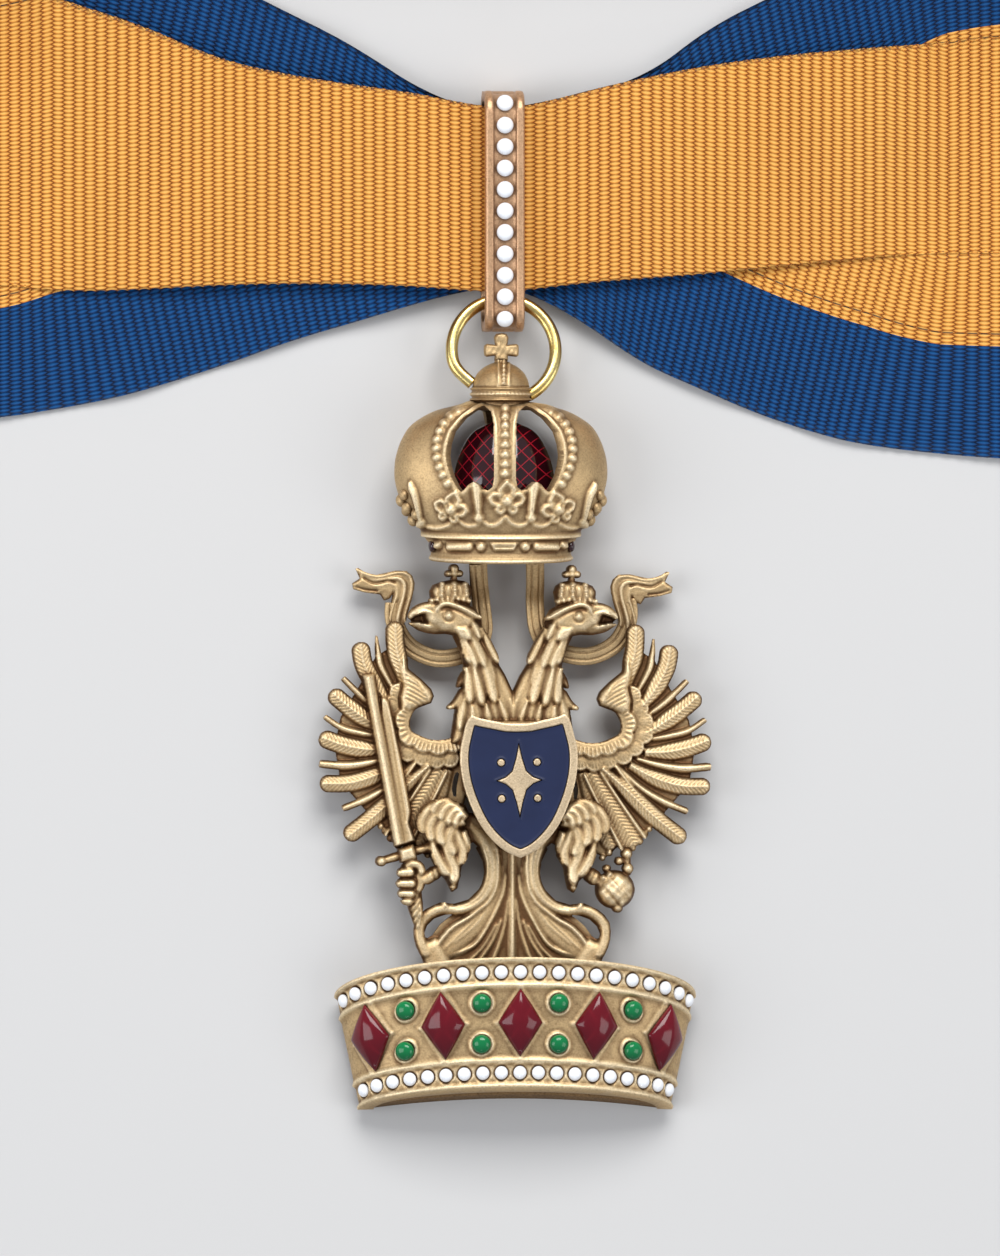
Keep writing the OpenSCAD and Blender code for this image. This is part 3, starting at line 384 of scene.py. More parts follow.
RED = stone_material("red_stone", srgb(116, 12, 28), srgb(112, 16, 32), srgb(50, 2, 12))
GREEN = stone_material("green_stone", srgb(10, 120, 66), srgb(24, 138, 78), srgb(0, 66, 38))


def cap_material():
    """Dark red enamel with a thin bright lattice, by the cap's own width and height."""
    mat, nt, bsdf = new_material("crown_cap_enamel")
    wide, high = weave_places(nt)
    lines = None
    for sign in (1, -1):
        s = math_node(nt, "ADD", wide, math_node(nt, "MULTIPLY", high, float(sign)))
        f = math_node(nt, "FRACT", s)
        d = math_node(nt, "ABSOLUTE", math_node(nt, "SUBTRACT", f, 0.5))
        line = math_node(nt, "LESS_THAN", d, 0.042)
        lines = line if lines is None else math_node(nt, "MAXIMUM", lines, line)
    cloud = noise(nt, 340, 2, 0.5)
    base = mix_color(nt, cloud, srgb(24, 5, 10), srgb(52, 9, 17))
    tone = mix_color(nt, lines, base, srgb(150, 24, 38))
    nt.links.new(tone, bsdf.inputs["Base Color"])
    bsdf.inputs["Roughness"].default_value = 0.08
    bsdf.inputs["Coat Weight"].default_value = 0.35
    bsdf.inputs["Coat Roughness"].default_value = 0.03
    return mat


CAP_RED = cap_material()

RIB_PITCH = 1.04
THREAD_PITCH = 0.39
BLUE_FROM = 15.25


def ribbon_material():
    """Warp-faced ribbed weave, placed by the flat ribbon's own length (u) and width (v)."""
    mat, nt, bsdf = new_material("ribbon_weave")
    length, width = weave_places(nt)
    sr = math_node(nt, "MULTIPLY", length, 100 / RIB_PITCH)
    wt = math_node(nt, "MULTIPLY", width, 100 / THREAD_PITCH)
    near = math_node(nt, "ROUND", sr)
    zig = math_node(nt, "COSINE", math_node(nt, "MULTIPLY_ADD", wt, 2 * math.pi,
                                            math_node(nt, "MULTIPLY", near, math.pi)))
    sz = math_node(nt, "MULTIPLY_ADD", zig, 0.1, sr)
    row = math_node(nt, "FLOOR", sz)
    rib = math_node(nt, "SINE", math_node(nt, "MULTIPLY", math_node(nt, "FRACT", sz), math.pi))
    rib = math_node(nt, "POWER", rib, 0.55)
    th = math_node(nt, "COSINE", math_node(nt, "MULTIPLY_ADD", wt, 2 * math.pi,
                                           math_node(nt, "MULTIPLY", row, math.pi)))
    th = math_node(nt, "MULTIPLY_ADD", th, 0.5, 0.5)
    th = math_node(nt, "POWER", th, 0.5)
    height = math_node(nt, "MULTIPLY", rib, math_node(nt, "MULTIPLY_ADD", th, 0.5, 0.5))
    fibre = noise(nt, 9000, 2, 0.6)
    cloud = noise(nt, 120, 2, 0.5)
    # painted shade: both colours darken toward the low gaps between the ribs and threads
    yellow = ramp(nt, height, [(0.1, srgb(128, 60, 18)), (0.42, srgb(190, 116, 42)),
                               (0.66, srgb(222, 156, 70)), (1.0, srgb(236, 180, 94))])
    blue = ramp(nt, height, [(0.1, srgb(0, 15, 40)), (0.45, srgb(0, 40, 84)), (0.75, srgb(0, 60, 116)),
                             (1.0, srgb(2, 76, 134))])
    across = math_node(nt, "ABSOLUTE", math_node(nt, "MULTIPLY", width, 100.0))
    is_blue = math_node(nt, "GREATER_THAN", across, BLUE_FROM)
    tone = mix_color(nt, is_blue, yellow, blue)
    # A dark thread shows in short dashes beside the blue edge
    beside = math_node(nt, "ABSOLUTE", math_node(nt, "SUBTRACT", across, BLUE_FROM - 1.15))
    dash = math_node(nt, "LESS_THAN", beside, 0.07)
    dash = math_node(nt, "MULTIPLY", dash, math_node(nt, "GREATER_THAN", rib, 0.6))
    tone = mix_color(nt, math_node(nt, "MULTIPLY", dash, 0.85), tone, srgb(26, 30, 44))
    tone = mix_color(nt, math_node(nt, "MULTIPLY", cloud, 0.35), tone,
                     mix_color(nt, 0.35, tone, srgb(150, 96, 40), "MULTIPLY"))
    nt.links.new(tone, bsdf.inputs["Base Color"])
    bsdf.inputs["Roughness"].default_value = 0.62
    bsdf.inputs["Specular IOR Level"].default_value = 0.2
    bsdf.inputs["Sheen Weight"].default_value = 0.06
    bsdf.inputs["Sheen Roughness"].default_value = 0.5
    total = math_node(nt, "MULTIPLY_ADD", fibre, 0.12, height)
    bump(nt, bsdf, total, 0.00022, 0.9)
    return mat


RIBBON = ribbon_material()

# Ribbon
# Share of fan_len; upper fold, upper selvedge, lower fold, lower selvedge as shares of the width;
# lift share; share of the gathered width in the lower pleat
FAN_LEFT = np.array([
    [0.00, 0.168, 0.160, -0.173, -0.166, 1.0, 0.336], [0.07, 0.174, 0.170, -0.171, -0.176, 1.0, 0.33],
    [0.15, 0.193, 0.196, -0.163, -0.195, 0.9, 0.309], [0.29, 0.211, 0.278, -0.158, -0.232, 0.5, 0.30],
    [0.43, 0.231, 0.340, -0.157, -0.266, 0.2, 0.284], [0.57, 0.262, 0.404, -0.160, -0.312, 0.0, 0.24],
    [0.72, 0.326, 0.455, -0.170, -0.355, 0.0, 0.25], [0.86, 0.366, 0.492, -0.176, -0.392, 0.0, 0.25],
    [1.00, 0.420, 0.590, -0.166, -0.419, 0.0, 0.25]])
FAN_RIGHT = np.array([
    [0.00, 0.168, 0.160, -0.173, -0.166, 1.0, 0.337], [0.07, 0.175, 0.168, -0.167, -0.186, 1.0, 0.314],
    [0.15, 0.197, 0.190, -0.156, -0.228, 0.9, 0.261], [0.29, 0.228, 0.230, -0.146, -0.303, 0.5, 0.14],
    [0.43, 0.253, 0.322, -0.137, -0.354, 0.2, 0.15], [0.57, 0.270, 0.384, -0.124, -0.406, 0.0, 0.16],
    [0.72, 0.283, 0.446, -0.112, -0.449, 0.0, 0.20], [0.86, 0.292, 0.510, -0.104, -0.478, 0.0, 0.20],
    [1.00, 0.310, 0.545, -0.104, -0.494, 0.0, 0.20]])
COUNTS = (15, 4, 6, 4, 32, 4, 7, 4, 15)   # points on each flat stretch and fold across the ribbon
LAYER = 0.72                               # distance between the middles of two layers


def smooth_col(table, x, c):
    """Column c of a table at x, smoothed a little so that folds run in soft curves."""
    k = np.linspace(-0.06, 0.06, 7)
    return sum(np.interp(np.clip(x + d, 0, 1), table[:, 0], table[:, c]) for d in k) / len(k)


def fan_station(table, share):
    """Points across the pleated ribbon and their flat place across it."""
    uf, ue, lf, le = (smooth_col(table, share, c) * RIBBON_W for c in (1, 2, 3, 4))
    lift = smooth_col(table, share, 5) * RIBBON_LIFT
    low_part = smooth_col(table, share, 6)
    gathered = max(0.0, (RIBBON_W - (ue - le)) / 2)
    low_deep, up_deep = max(0.05, gathered * low_part), max(0.05, gathered * (1 - low_part))
    low_step = LAYER * min(1, low_deep / 1.6)
    up_step = LAYER * min(1, up_deep / 1.6)
    z0 = lift + 0.3

    def arc(y, za, zb, bulge, n):
        a = np.linspace(0, math.pi, n + 2)[1:-1]
        r = (zb - za) / 2
        return [(y + bulge * r * math.sin(t), (za + zb) / 2 - r * math.cos(t)) for t in a]

    def run(ya, yb, z, n):
        return [(y, z) for y in np.linspace(ya, yb, n)]

    low_back, up_back = lf + low_deep, uf - up_deep
    pts = run(le, low_back, z0, COUNTS[0]) + arc(low_back, z0, z0 + low_step, 1, COUNTS[1])
    pts += run(low_back, lf, z0 + low_step, COUNTS[2]) + arc(lf, z0 + low_step, z0 + 2 * low_step, -1,
                                                             COUNTS[3])
    front = []
    for k, y in enumerate(np.linspace(lf, uf, COUNTS[4])):
        u = k / (COUNTS[4] - 1)
        front.append((y, z0 + 2 * (low_step + (up_step - low_step) * smoothstep(0, 1, u))
                      + 0.25 * min(low_step, 0.7) * math.sin(math.pi * u)))
    pts += front + arc(uf, z0 + 2 * up_step, z0 + up_step, 1, COUNTS[5])
    pts += run(uf, up_back, z0 + up_step, COUNTS[6]) + arc(up_back, z0 + up_step, z0, -1, COUNTS[7])
    pts += run(up_back, ue, z0, COUNTS[8])
    pts = np.array(pts)
    flat = np.concatenate([[0], np.cumsum(np.linalg.norm(np.diff(pts, axis=0), axis=1))])
    flat = flat / flat[-1] * RIBBON_W - RIBBON_W / 2
    return pts, flat


def bezier(a, b, c, d, t):
    return a * (1 - t) ** 3 + 3 * b * t * (1 - t) ** 2 + 3 * c * t ** 2 * (1 - t) + d * t ** 3


def collar_route(start_y, end_gap, step):
    """Foot of the standing collar from the end of the fan to the clasp, at even steps."""
    reach = COLLAR_HALF_W - FAN_LEN
    t = np.linspace(0, 1, 200)[:, None]
    corner = bezier(np.array([FAN_LEN, start_y]), np.array([FAN_LEN + 0.8 * reach, start_y - 0.08 * reach]),
                    np.array([COLLAR_HALF_W, COLLAR_TURN - reach]), np.array([COLLAR_HALF_W, COLLAR_TURN]), t)
    a = np.linspace(0, math.pi / 2, 200)[1:, None]
    back = np.hstack([BACK_STRAIGHT + (COLLAR_HALF_W - BACK_STRAIGHT) * np.cos(a),
                      COLLAR_TURN + (COLLAR_BACK - COLLAR_TURN) * np.sin(a)])
    path = np.vstack([corner, back, [[end_gap, COLLAR_BACK]]])
    s = np.concatenate([[0], np.cumsum(np.linalg.norm(np.diff(path, axis=0), axis=1))])
    at = np.linspace(0, s[-1], int(round(s[-1] / step)) + 1)
    return np.stack([np.interp(at, s, path[:, 0]), np.interp(at, s, path[:, 1])], 1), at


def ribbon_half(table, side, rib_steps):
    """Rows for one side, from the bail to the clasp: points, flat length and width, and rib height."""
    rows, lens, widths, amps = [], [], [], []
    for x in np.arange(0, FAN_LEN + 1e-6, RIB_PITCH / rib_steps):
        share = x / FAN_LEN
        pts, flat = fan_station(table, share)
        # Beyond the two folds of the front layer the ribs lean along the ribbon
        low = pts[:, 0] - smooth_col(table, share, 3) * RIBBON_W
        up = pts[:, 0] - smooth_col(table, share, 1) * RIBBON_W
        shift = np.where(low < 0, 0.22 * low, np.where(up > 0, -0.2 * up, 0)) * smoothstep(0.05, 0.4, share)
        shift = shift * (1 - smoothstep(0.75, 1.0, share))
        wave = 0.16 * np.sin(0.55 * x + 0.3 * pts[:, 0] + side) * smoothstep(0.1, 0.4, share)
        rows.append(np.stack([side * (x + shift), pts[:, 0], pts[:, 1] + np.maximum(wave, -0.1)], 1))
        lens.append(np.full(len(flat), x))
        widths.append(flat)
        amps.append(1.0)
    u = (flat + RIBBON_W / 2) / RIBBON_W
    fan_w = (table[-1, 2] - table[-1, 4]) * RIBBON_W
    path, at = collar_route(table[-1, 4] * RIBBON_W, 0.75, 2.0)
    n = len(path) - 1
    first_back = next(i for i in range(n + 1) if path[i][1] >= COLLAR_TURN)
    for i in range(1, n + 1):
        p0, p1 = path[i - 1], path[min(n, i + 1)]
        along = (p1 - p0) / np.linalg.norm(p1 - p0)
        # The rise goes by the solid's knots: 10 up to the turn, then 8 round the back
        if i <= first_back:
            knot = 10 * i / first_back
        else:
            a = math.asin(min(1, (path[i][1] - COLLAR_TURN) / (COLLAR_BACK - COLLAR_TURN)))
            knot = 10 + 8 * a / (math.pi / 2)
        f = min(1, (knot + 1) / 12)
        rise = math.radians(90 * f * f * (3 - 2 * f))
        turned = math.radians(90 + 0.35 * math.degrees(math.atan2(along[1], along[0])))
        across = np.array([math.cos(turned) * math.cos(rise), math.sin(turned) * math.cos(rise),
                           math.sin(rise)])
        face = np.cross([along[0], along[1], 0], across)
        face /= np.linalg.norm(face)
        w = fan_w + (RIBBON_W - fan_w) * min(1, (knot + 1) / 4)
        foot = np.array([path[i][0], path[i][1], max(0.3, 0.5 * abs(face[2]))])
        rows.append((foot + across * (u[:, None] * w)) * [side, 1, 1])
        lens.append(np.full(len(flat), FAN_LEN + at[i]))
        widths.append(flat)
        amps.append(0.0)
    return np.array(rows), np.array(lens), np.array(widths), np.array(amps)


def grid_normals(p):
    du = np.gradient(p, axis=0)
    dv = np.gradient(p, axis=1)
    n = np.cross(du, dv)
    return n / np.maximum(1e-9, np.linalg.norm(n, axis=2))[:, :, None]


def make_ribbon():
    steps = 4
    right = ribbon_half(FAN_RIGHT, 1, steps)
    left = ribbon_half(FAN_LEFT, -1, steps)
    pts = np.concatenate([left[0][:0:-1], right[0]])
    length = np.concatenate([-left[1][:0:-1], right[1]])
    width = np.concatenate([left[2][:0:-1], right[2]])
    amp = np.concatenate([left[3][:0:-1], right[3]])
    n = grid_normals(pts)
    rib = np.abs(np.sin(math.pi * length / RIB_PITCH)) ** 0.7
    pts = pts + n * ((rib - 0.5) * 0.14 * amp[:, None])[:, :, None] * -1
    # The selvedges turn down a little, which gives the edge its thickness
    lip = [pts[:, 0] + n[:, 0] * 0.3, pts[:, -1] + n[:, -1] * 0.3]
    pts = np.concatenate([lip[0][:, None], pts, lip[1][:, None]], axis=1)
    length = np.concatenate([length[:, :1], length, length[:, -1:]], axis=1)
    width = np.concatenate([width[:, :1] - 0.3, width, width[:, -1:] + 0.3], axis=1)
    uv = np.stack([length.ravel() / 100, width.ravel() / 100], 1)
    pts[:, :, 2] = np.maximum(pts[:, :, 2], 0.04)
    rows, cols = pts.shape[:2]
    obj = make_mesh("ribbon_sheet", pts.reshape(-1, 3), grid_faces(rows, cols), RIBBON, uv=uv)
    total = float(right[1].max() + left[1].max()) * MM
    return obj, total


ribbon_obj, ribbon_len = make_ribbon()
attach(ribbon_obj, "root")
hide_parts("neck_ribbon")

# Relief
# The eagle and its ornament are raised shapes on a flat back. They are laid out in the units of the
# photograph (PX_PER_MM pixels to a millimetre, X to the right, Y down) and stand on EAGLE_Z.
UNIT = 1 / PX_PER_MM
# The picture is taken a little from the left, so a point at height z shows LEAN * z to the right
LEAN = 0.077


class Relief:
    """Height and outline of raised shapes over a grid of points."""

    def __init__(self, x0, x1, y0, y1, step, mirror=None, shift=0.0):
        self.step = step
        xs = np.arange(x0, x1 + step, step)
        ys = np.arange(y0, y1 + step, step)
        self.gx, self.gy = np.meshgrid(xs, ys, indexing="ij")
        self.px = self.gx if mirror is None else 2 * mirror - self.gx
        self.py = self.gy + shift
        self.h = np.full(self.gx.shape, -5.0)
        self.d = np.full(self.gx.shape, -99.0)
        self.tone = np.zeros(self.gx.shape)

    def window(self, pts, pad):
        pts = np.asarray(pts, float)
        lo, hi = pts.min(0) - pad, pts.max(0) + pad
        m = (self.px >= lo[0]) & (self.px <= hi[0]) & (self.py >= lo[1]) & (self.py <= hi[1])
        idx = np.nonzero(m)
        if len(idx[0]) == 0:
            return None
        return (slice(idx[0].min(), idx[0].max() + 1), slice(idx[1].min(), idx[1].max() + 1))

    def part(self, rows, mirrored):
        """Some rows of the relief, with the same heights; mirrored, they take the right half's places."""
        sub = Relief.__new__(Relief)
        sub.step = self.step
        sub.gx, sub.gy = self.gx[rows], self.gy[rows]
        sub.px = 2 * MIDDLE_COL - sub.gx if mirrored else sub.gx
        sub.py = sub.gy + 1.0 if mirrored else sub.gy
        sub.h, sub.d, sub.tone = self.h[rows], self.d[rows], self.tone[rows]
        return sub

    def put(self, win, d, h, solid=True):
        ok = d > -1.1
        cur = self.h[win]
        self.h[win] = np.where(ok, np.maximum(cur, h), cur)
        if solid:
            self.d[win] = np.maximum(self.d[win], d)

    def add(self, win, dh):
        self.h[win] = self.h[win] + dh

    def darken(self, poly, amount, soft=4.0):
        win = self.window(poly, 2)
        d = poly_distance(self.px[win], self.py[win], poly)
        self.tone[win] = self.tone[win] - amount * smoothstep(0, soft, d)

    def cut(self, poly):
        win = self.window(poly, 6)
        d = poly_distance(self.px[win], self.py[win], poly)
        self.d[win] = np.minimum(self.d[win], -d)


def curve(points, n=40):
    """Even points along a smooth curve through the given ones."""
    p = np.asarray(points, float)
    if len(p) == 2:
        t = np.linspace(0, 1, n)[:, None]
        return p[0] * (1 - t) + p[1] * t
    q = np.vstack([2 * p[0] - p[1], p, 2 * p[-1] - p[-2]])
    out = []
    for i in range(1, len(q) - 2):
        for t in np.linspace(0, 1, 12, endpoint=False):
            a, b, c, d = q[i - 1], q[i], q[i + 1], q[i + 2]
            out.append(0.5 * ((2 * b) + (c - a) * t + (2 * a - 5 * b + 4 * c - d) * t * t
                              + (3 * b - a - 3 * c + d) * t ** 3))
    out.append(q[-2])
    out = np.array(out)
    s = np.concatenate([[0], np.cumsum(np.linalg.norm(np.diff(out, axis=0)[:, :2], axis=1))])
    at = np.linspace(0, s[-1], n)
    return np.stack([np.interp(at, s, out[:, k]) for k in range(out.shape[1])], 1)


def along_curve(x, y, line):
    """For each point: length along the line, signed distance to its side, share of the way."""
    shape = x.shape
    X, Y = x.ravel(), y.ravel()
    best = np.full(X.shape, 1e9)
    s_out, t_out = np.zeros(X.shape), np.zeros(X.shape)
    acc = 0.0
    n = len(line) - 1
    for i in range(n):
        a, b = line[i, :2], line[i + 1, :2]
        v = b - a
        l = float(np.hypot(*v)) or 1e-9
        v = v / l
        u = (X - a[0]) * v[0] + (Y - a[1]) * v[1]
        lo = -1e9 if i == 0 else 0
        hi = 1e9 if i == n - 1 else l
        uc = np.clip(u, lo, hi)
        side = (X - a[0]) * -v[1] + (Y - a[1]) * v[0]
        dist = np.hypot(u - uc, side)
        near = dist < best
        best = np.where(near, dist, best)
        s_out = np.where(near, acc + uc, s_out)
        t_out = np.where(near, np.sign(side) * dist, t_out)
        acc += l
    return s_out.reshape(shape), t_out.reshape(shape), acc


def poly_distance(x, y, poly):
    """Signed distance to a polygon, positive inside."""
    p = np.asarray(poly, float)
    best = np.full(x.shape, 1e9)
    inside = np.zeros(x.shape, bool)
    for i in range(len(p)):
        a, b = p[i], p[(i + 1) % len(p)]
        v = b - a
        l2 = max(1e-9, v @ v)
        u = np.clip(((x - a[0]) * v[0] + (y - a[1]) * v[1]) / l2, 0, 1)
        best = np.minimum(best, np.hypot(x - a[0] - u * v[0], y - a[1] - u * v[1]))
        cond = (a[1] > y) != (b[1] > y)
        with np.errstate(divide="ignore", invalid="ignore"):
            at = (b[0] - a[0]) * (y - a[1]) / (b[1] - a[1]) + a[0]
        inside ^= cond & (x < at)
    return np.where(inside, best, -best)


def round_edge(d, r):
    """0 at the edge to 1 at r inside it, like a quarter circle."""
    t = np.clip(d / r, 0, 1)
    return np.sqrt(np.clip(1 - (1 - t) ** 2, 0, 1))


def feather(R, line, width, base, dome=0.3, barb=0.085, pitch=4.3, slope=1.05, root=0.5, tip=0.95,
            shaft=0.12):
    """Feather with a shaft and slanting barbs along a curve from its root to its tip."""
    line = curve(line, 24)
    win = R.window(line, width / 2 + 2)
    if win is None:
        return
    s, t, length = along_curve(R.px[win], R.py[win], line)
    u = s / length
    w = width / 2 * (root + (1 - root) * smoothstep(0, 0.45, u))
    cap = tip * width / 2
    rem = np.clip((length - s) / cap, 0, 1)
    w = w * np.sqrt(np.clip(1 - (1 - rem) ** 2, 0, 1))
    d = np.minimum(w - np.abs(t), length - s)
    d = np.where(s < 0, np.minimum(d, s), d)
    share = np.clip(np.abs(t) / np.maximum(w, 0.5), 0, 1)
    h = base * (0.72 + 0.28 * round_edge(d, 2.2)) + dome * (1 - share ** 2) * np.clip(d / 2, 0, 1)
    phase = (s - slope * np.abs(t)) / pitch
    bar = np.cos(2 * math.pi * phase)
    bar = np.sign(bar) * np.abs(bar) ** 0.7
    fade = smoothstep(0.4, 1.6, np.abs(t)) * smoothstep(0.2, 1.8, d)
    h = h + barb * bar * fade + shaft * np.exp(-(t / 0.85) ** 2) * smoothstep(0, 2, d)
    R.put(win, d, h)


def rod(R, points, base, flat=0.0, solid=True, blunt=True):
    """Rounded bar through points given as x, y, half width; base is the height at its edge."""
    line = curve(points, 28)
    r_max = line[:, 2].max()
    win = R.window(line[:, :2], r_max + 2)
    if win is None:
        return
    s, t, length = along_curve(R.px[win], R.py[win], line)
    w = np.interp(s / length, np.linspace(0, 1, len(line)), line[:, 2])
    cap = np.where(s < w, np.sqrt(np.clip(w ** 2 - (w - np.maximum(s, 0)) ** 2, 0, None)), w)
    rem = length - s
    cap = np.minimum(cap, np.where(rem < w, np.sqrt(np.clip(w ** 2 - (w - np.maximum(rem, 0)) ** 2, 0, None)),
                                   w))
    if blunt:
        cap = np.where(rem < 0, -1, np.where(rem < 1.5, w * (0.7 + 0.2 * np.maximum(rem, 0)), cap))
    d = np.minimum(cap - np.abs(t), np.minimum(s + 1, rem + 1))
    share = np.clip(np.abs(t) / np.maximum(w, 0.4), 0, 1)
    high = w * UNIT * (1 - flat)
    h = base + high * np.sqrt(np.clip(1 - share ** 2, 0, 1)) * np.clip((d + 0.6) / 1.6, 0, 1)
    R.put(win, d, h, solid)


def leaf(R, line, width, base, dome=0.25, rim=0.06, root=0.35, tip=1.6, lines=0):
    """Pointed or rounded small feather with a raised outline."""
    line = curve(line, 16)
    win = R.window(line, width / 2 + 2)
    if win is None:
        return
    s, t, length = along_curve(R.px[win], R.py[win], line)
    u = np.clip(s / length, 0, 1)
    w = width / 2 * (root + (1 - root) * smoothstep(0, 0.5, u))
    cap = tip * width / 2
    rem = np.clip((length - s) / cap, 0, 1)
    w = w * np.sqrt(np.clip(1 - (1 - rem) ** 2, 0, 1)) ** (1.0 if tip < 1.3 else 1.3)
    d = np.minimum(w - np.abs(t), length - s)
    d = np.where(s < 0, np.minimum(d, s), d)
    share = np.clip(np.abs(t) / np.maximum(w, 0.5), 0, 1)
    h = base + dome * (1 - share ** 2) * np.clip(d / 1.5, 0, 1) + rim * np.exp(-((d - 0.9) / 0.7) ** 2)
    h = h + 0.12 * u
    if lines:
        h = h - 0.07 * np.exp(-(((share * lines) % 1 - 0.5) / 0.22) ** 2) * np.clip(d / 2, 0, 1)
    R.put(win, d, h)


def scallop(R, centre, radius, face, base, dome, ribs=4):
    """Fan-shaped small feather; face is the direction in which it opens."""
    c = np.asarray(centre, float)
    win = R.window([c], radius + 2)
    if win is None:
        return
    dx, dy = R.px[win] - c[0], R.py[win] - c[1]
    f = np.asarray(face, float)
    f = f / np.hypot(*f)
    a = dx * f[0] + dy * f[1]
    b = -dx * f[1] + dy * f[0]
    rho = np.hypot(dx, dy)
    d = radius - rho
    h = base + dome * np.clip(1 - (rho / radius) ** 2, 0, 1) + 0.07 * np.exp(-((d - 0.8) / 0.7) ** 2)
    ang = np.arctan2(b, a + 0.85 * radius)
    h = h - 0.075 * np.exp(-(((ang / 1.1 * ribs) % 1 - 0.5) / 0.2) ** 2) * np.clip(d / 2.2, 0, 1)
    R.put(win, d, h)


def plate(R, poly, height, edge=2.0, solid=True):
    win = R.window(poly, 3)
    if win is None:
        return
    d = poly_distance(R.px[win], R.py[win], poly)
    R.put(win, d, height * (0.6 + 0.4 * round_edge(d, edge)), solid)


def score(R, points, depth, width=0.9):
    """Fine line cut into (or, with a negative depth, raised on) what is there."""
    line = curve(points, 24)
    win = R.window(line[:, :2], 4)
    if win is None:
        return
    s, t, length = along_curve(R.px[win], R.py[win], line)
    w = np.exp(-(t / width) ** 2)
    ends = smoothstep(-1, 2, s) * smoothstep(-1, 2, length - s)
    R.add(win, -depth * w * ends)


def blob(R, centre, radius, base, high, solid=True):
    c = np.asarray(centre, float)
    win = R.window([c], radius + 2)
    if win is None:
        return
    rho = np.hypot(R.px[win] - c[0], R.py[win] - c[1])
    d = radius - rho
    R.put(win, d, base + high * np.sqrt(np.clip(1 - (rho / radius) ** 2, 0, 1)), solid)


def blur(a, r):
    for axis in (0, 1):
        pad = [(r + 1, r), (0, 0)] if axis == 0 else [(0, 0), (r + 1, r)]
        c = np.cumsum(np.pad(a, pad, mode="edge"), axis=axis)
        n = a.shape[axis]
        hi = np.take(c, np.arange(2 * r + 1, 2 * r + 1 + n), axis=axis)
        lo = np.take(c, np.arange(0, n), axis=axis)
        a = (hi - lo) / (2 * r + 1)
    return a


def border_edges(quads, count):
    """Edges that only one quad uses, each in that quad's direction; count is the number of points."""
    edges = np.concatenate([quads[:, [0, 1]], quads[:, [1, 2]], quads[:, [2, 3]], quads[:, [3, 0]]])
    key = np.sort(edges, 1).astype(np.int64)
    code = key[:, 0] * (count + 1) + key[:, 1]
    _, first, uses = np.unique(code, return_index=True, return_counts=True)
    return edges[first[uses == 1]]


def mark_sharp(bm, angle):
    """Edges whose two faces turn by more than the angle are shown sharp."""
    for ed in bm.edges:
        if len(ed.link_faces) == 2 and ed.calc_face_angle(0) > angle:
            ed.smooth = False


def stands_out(h, on, r):
    """How far each height stands above the blurred ones around it."""
    weight = np.maximum(blur(blur(on.astype(float), r), r), 0.05)
    return h - blur(blur(np.where(on, h, 0), r), r) / weight


def rim_points(cell):
    """Grid points on the border of the chosen cells, but not on the border of the grid itself."""
    n, m = cell.shape
    count = np.zeros((n + 1, m + 1), int)
    for di in (0, 1):
        for dj in (0, 1):
            count[di:n + di, dj:m + dj] += cell
    return (count > 0) & (count < 4)


def to_outline(d, edge, reach=1.7):
    """Moves, in cells, that bring border points onto the line where d is 0."""
    gi, gj = np.gradient(d)
    g2 = np.maximum(gi ** 2 + gj ** 2, 1e-3)
    near = edge & (np.abs(d) < reach * np.sqrt(g2))
    return np.where(near, -d * gi / g2, 0), np.where(near, -d * gj / g2, 0)


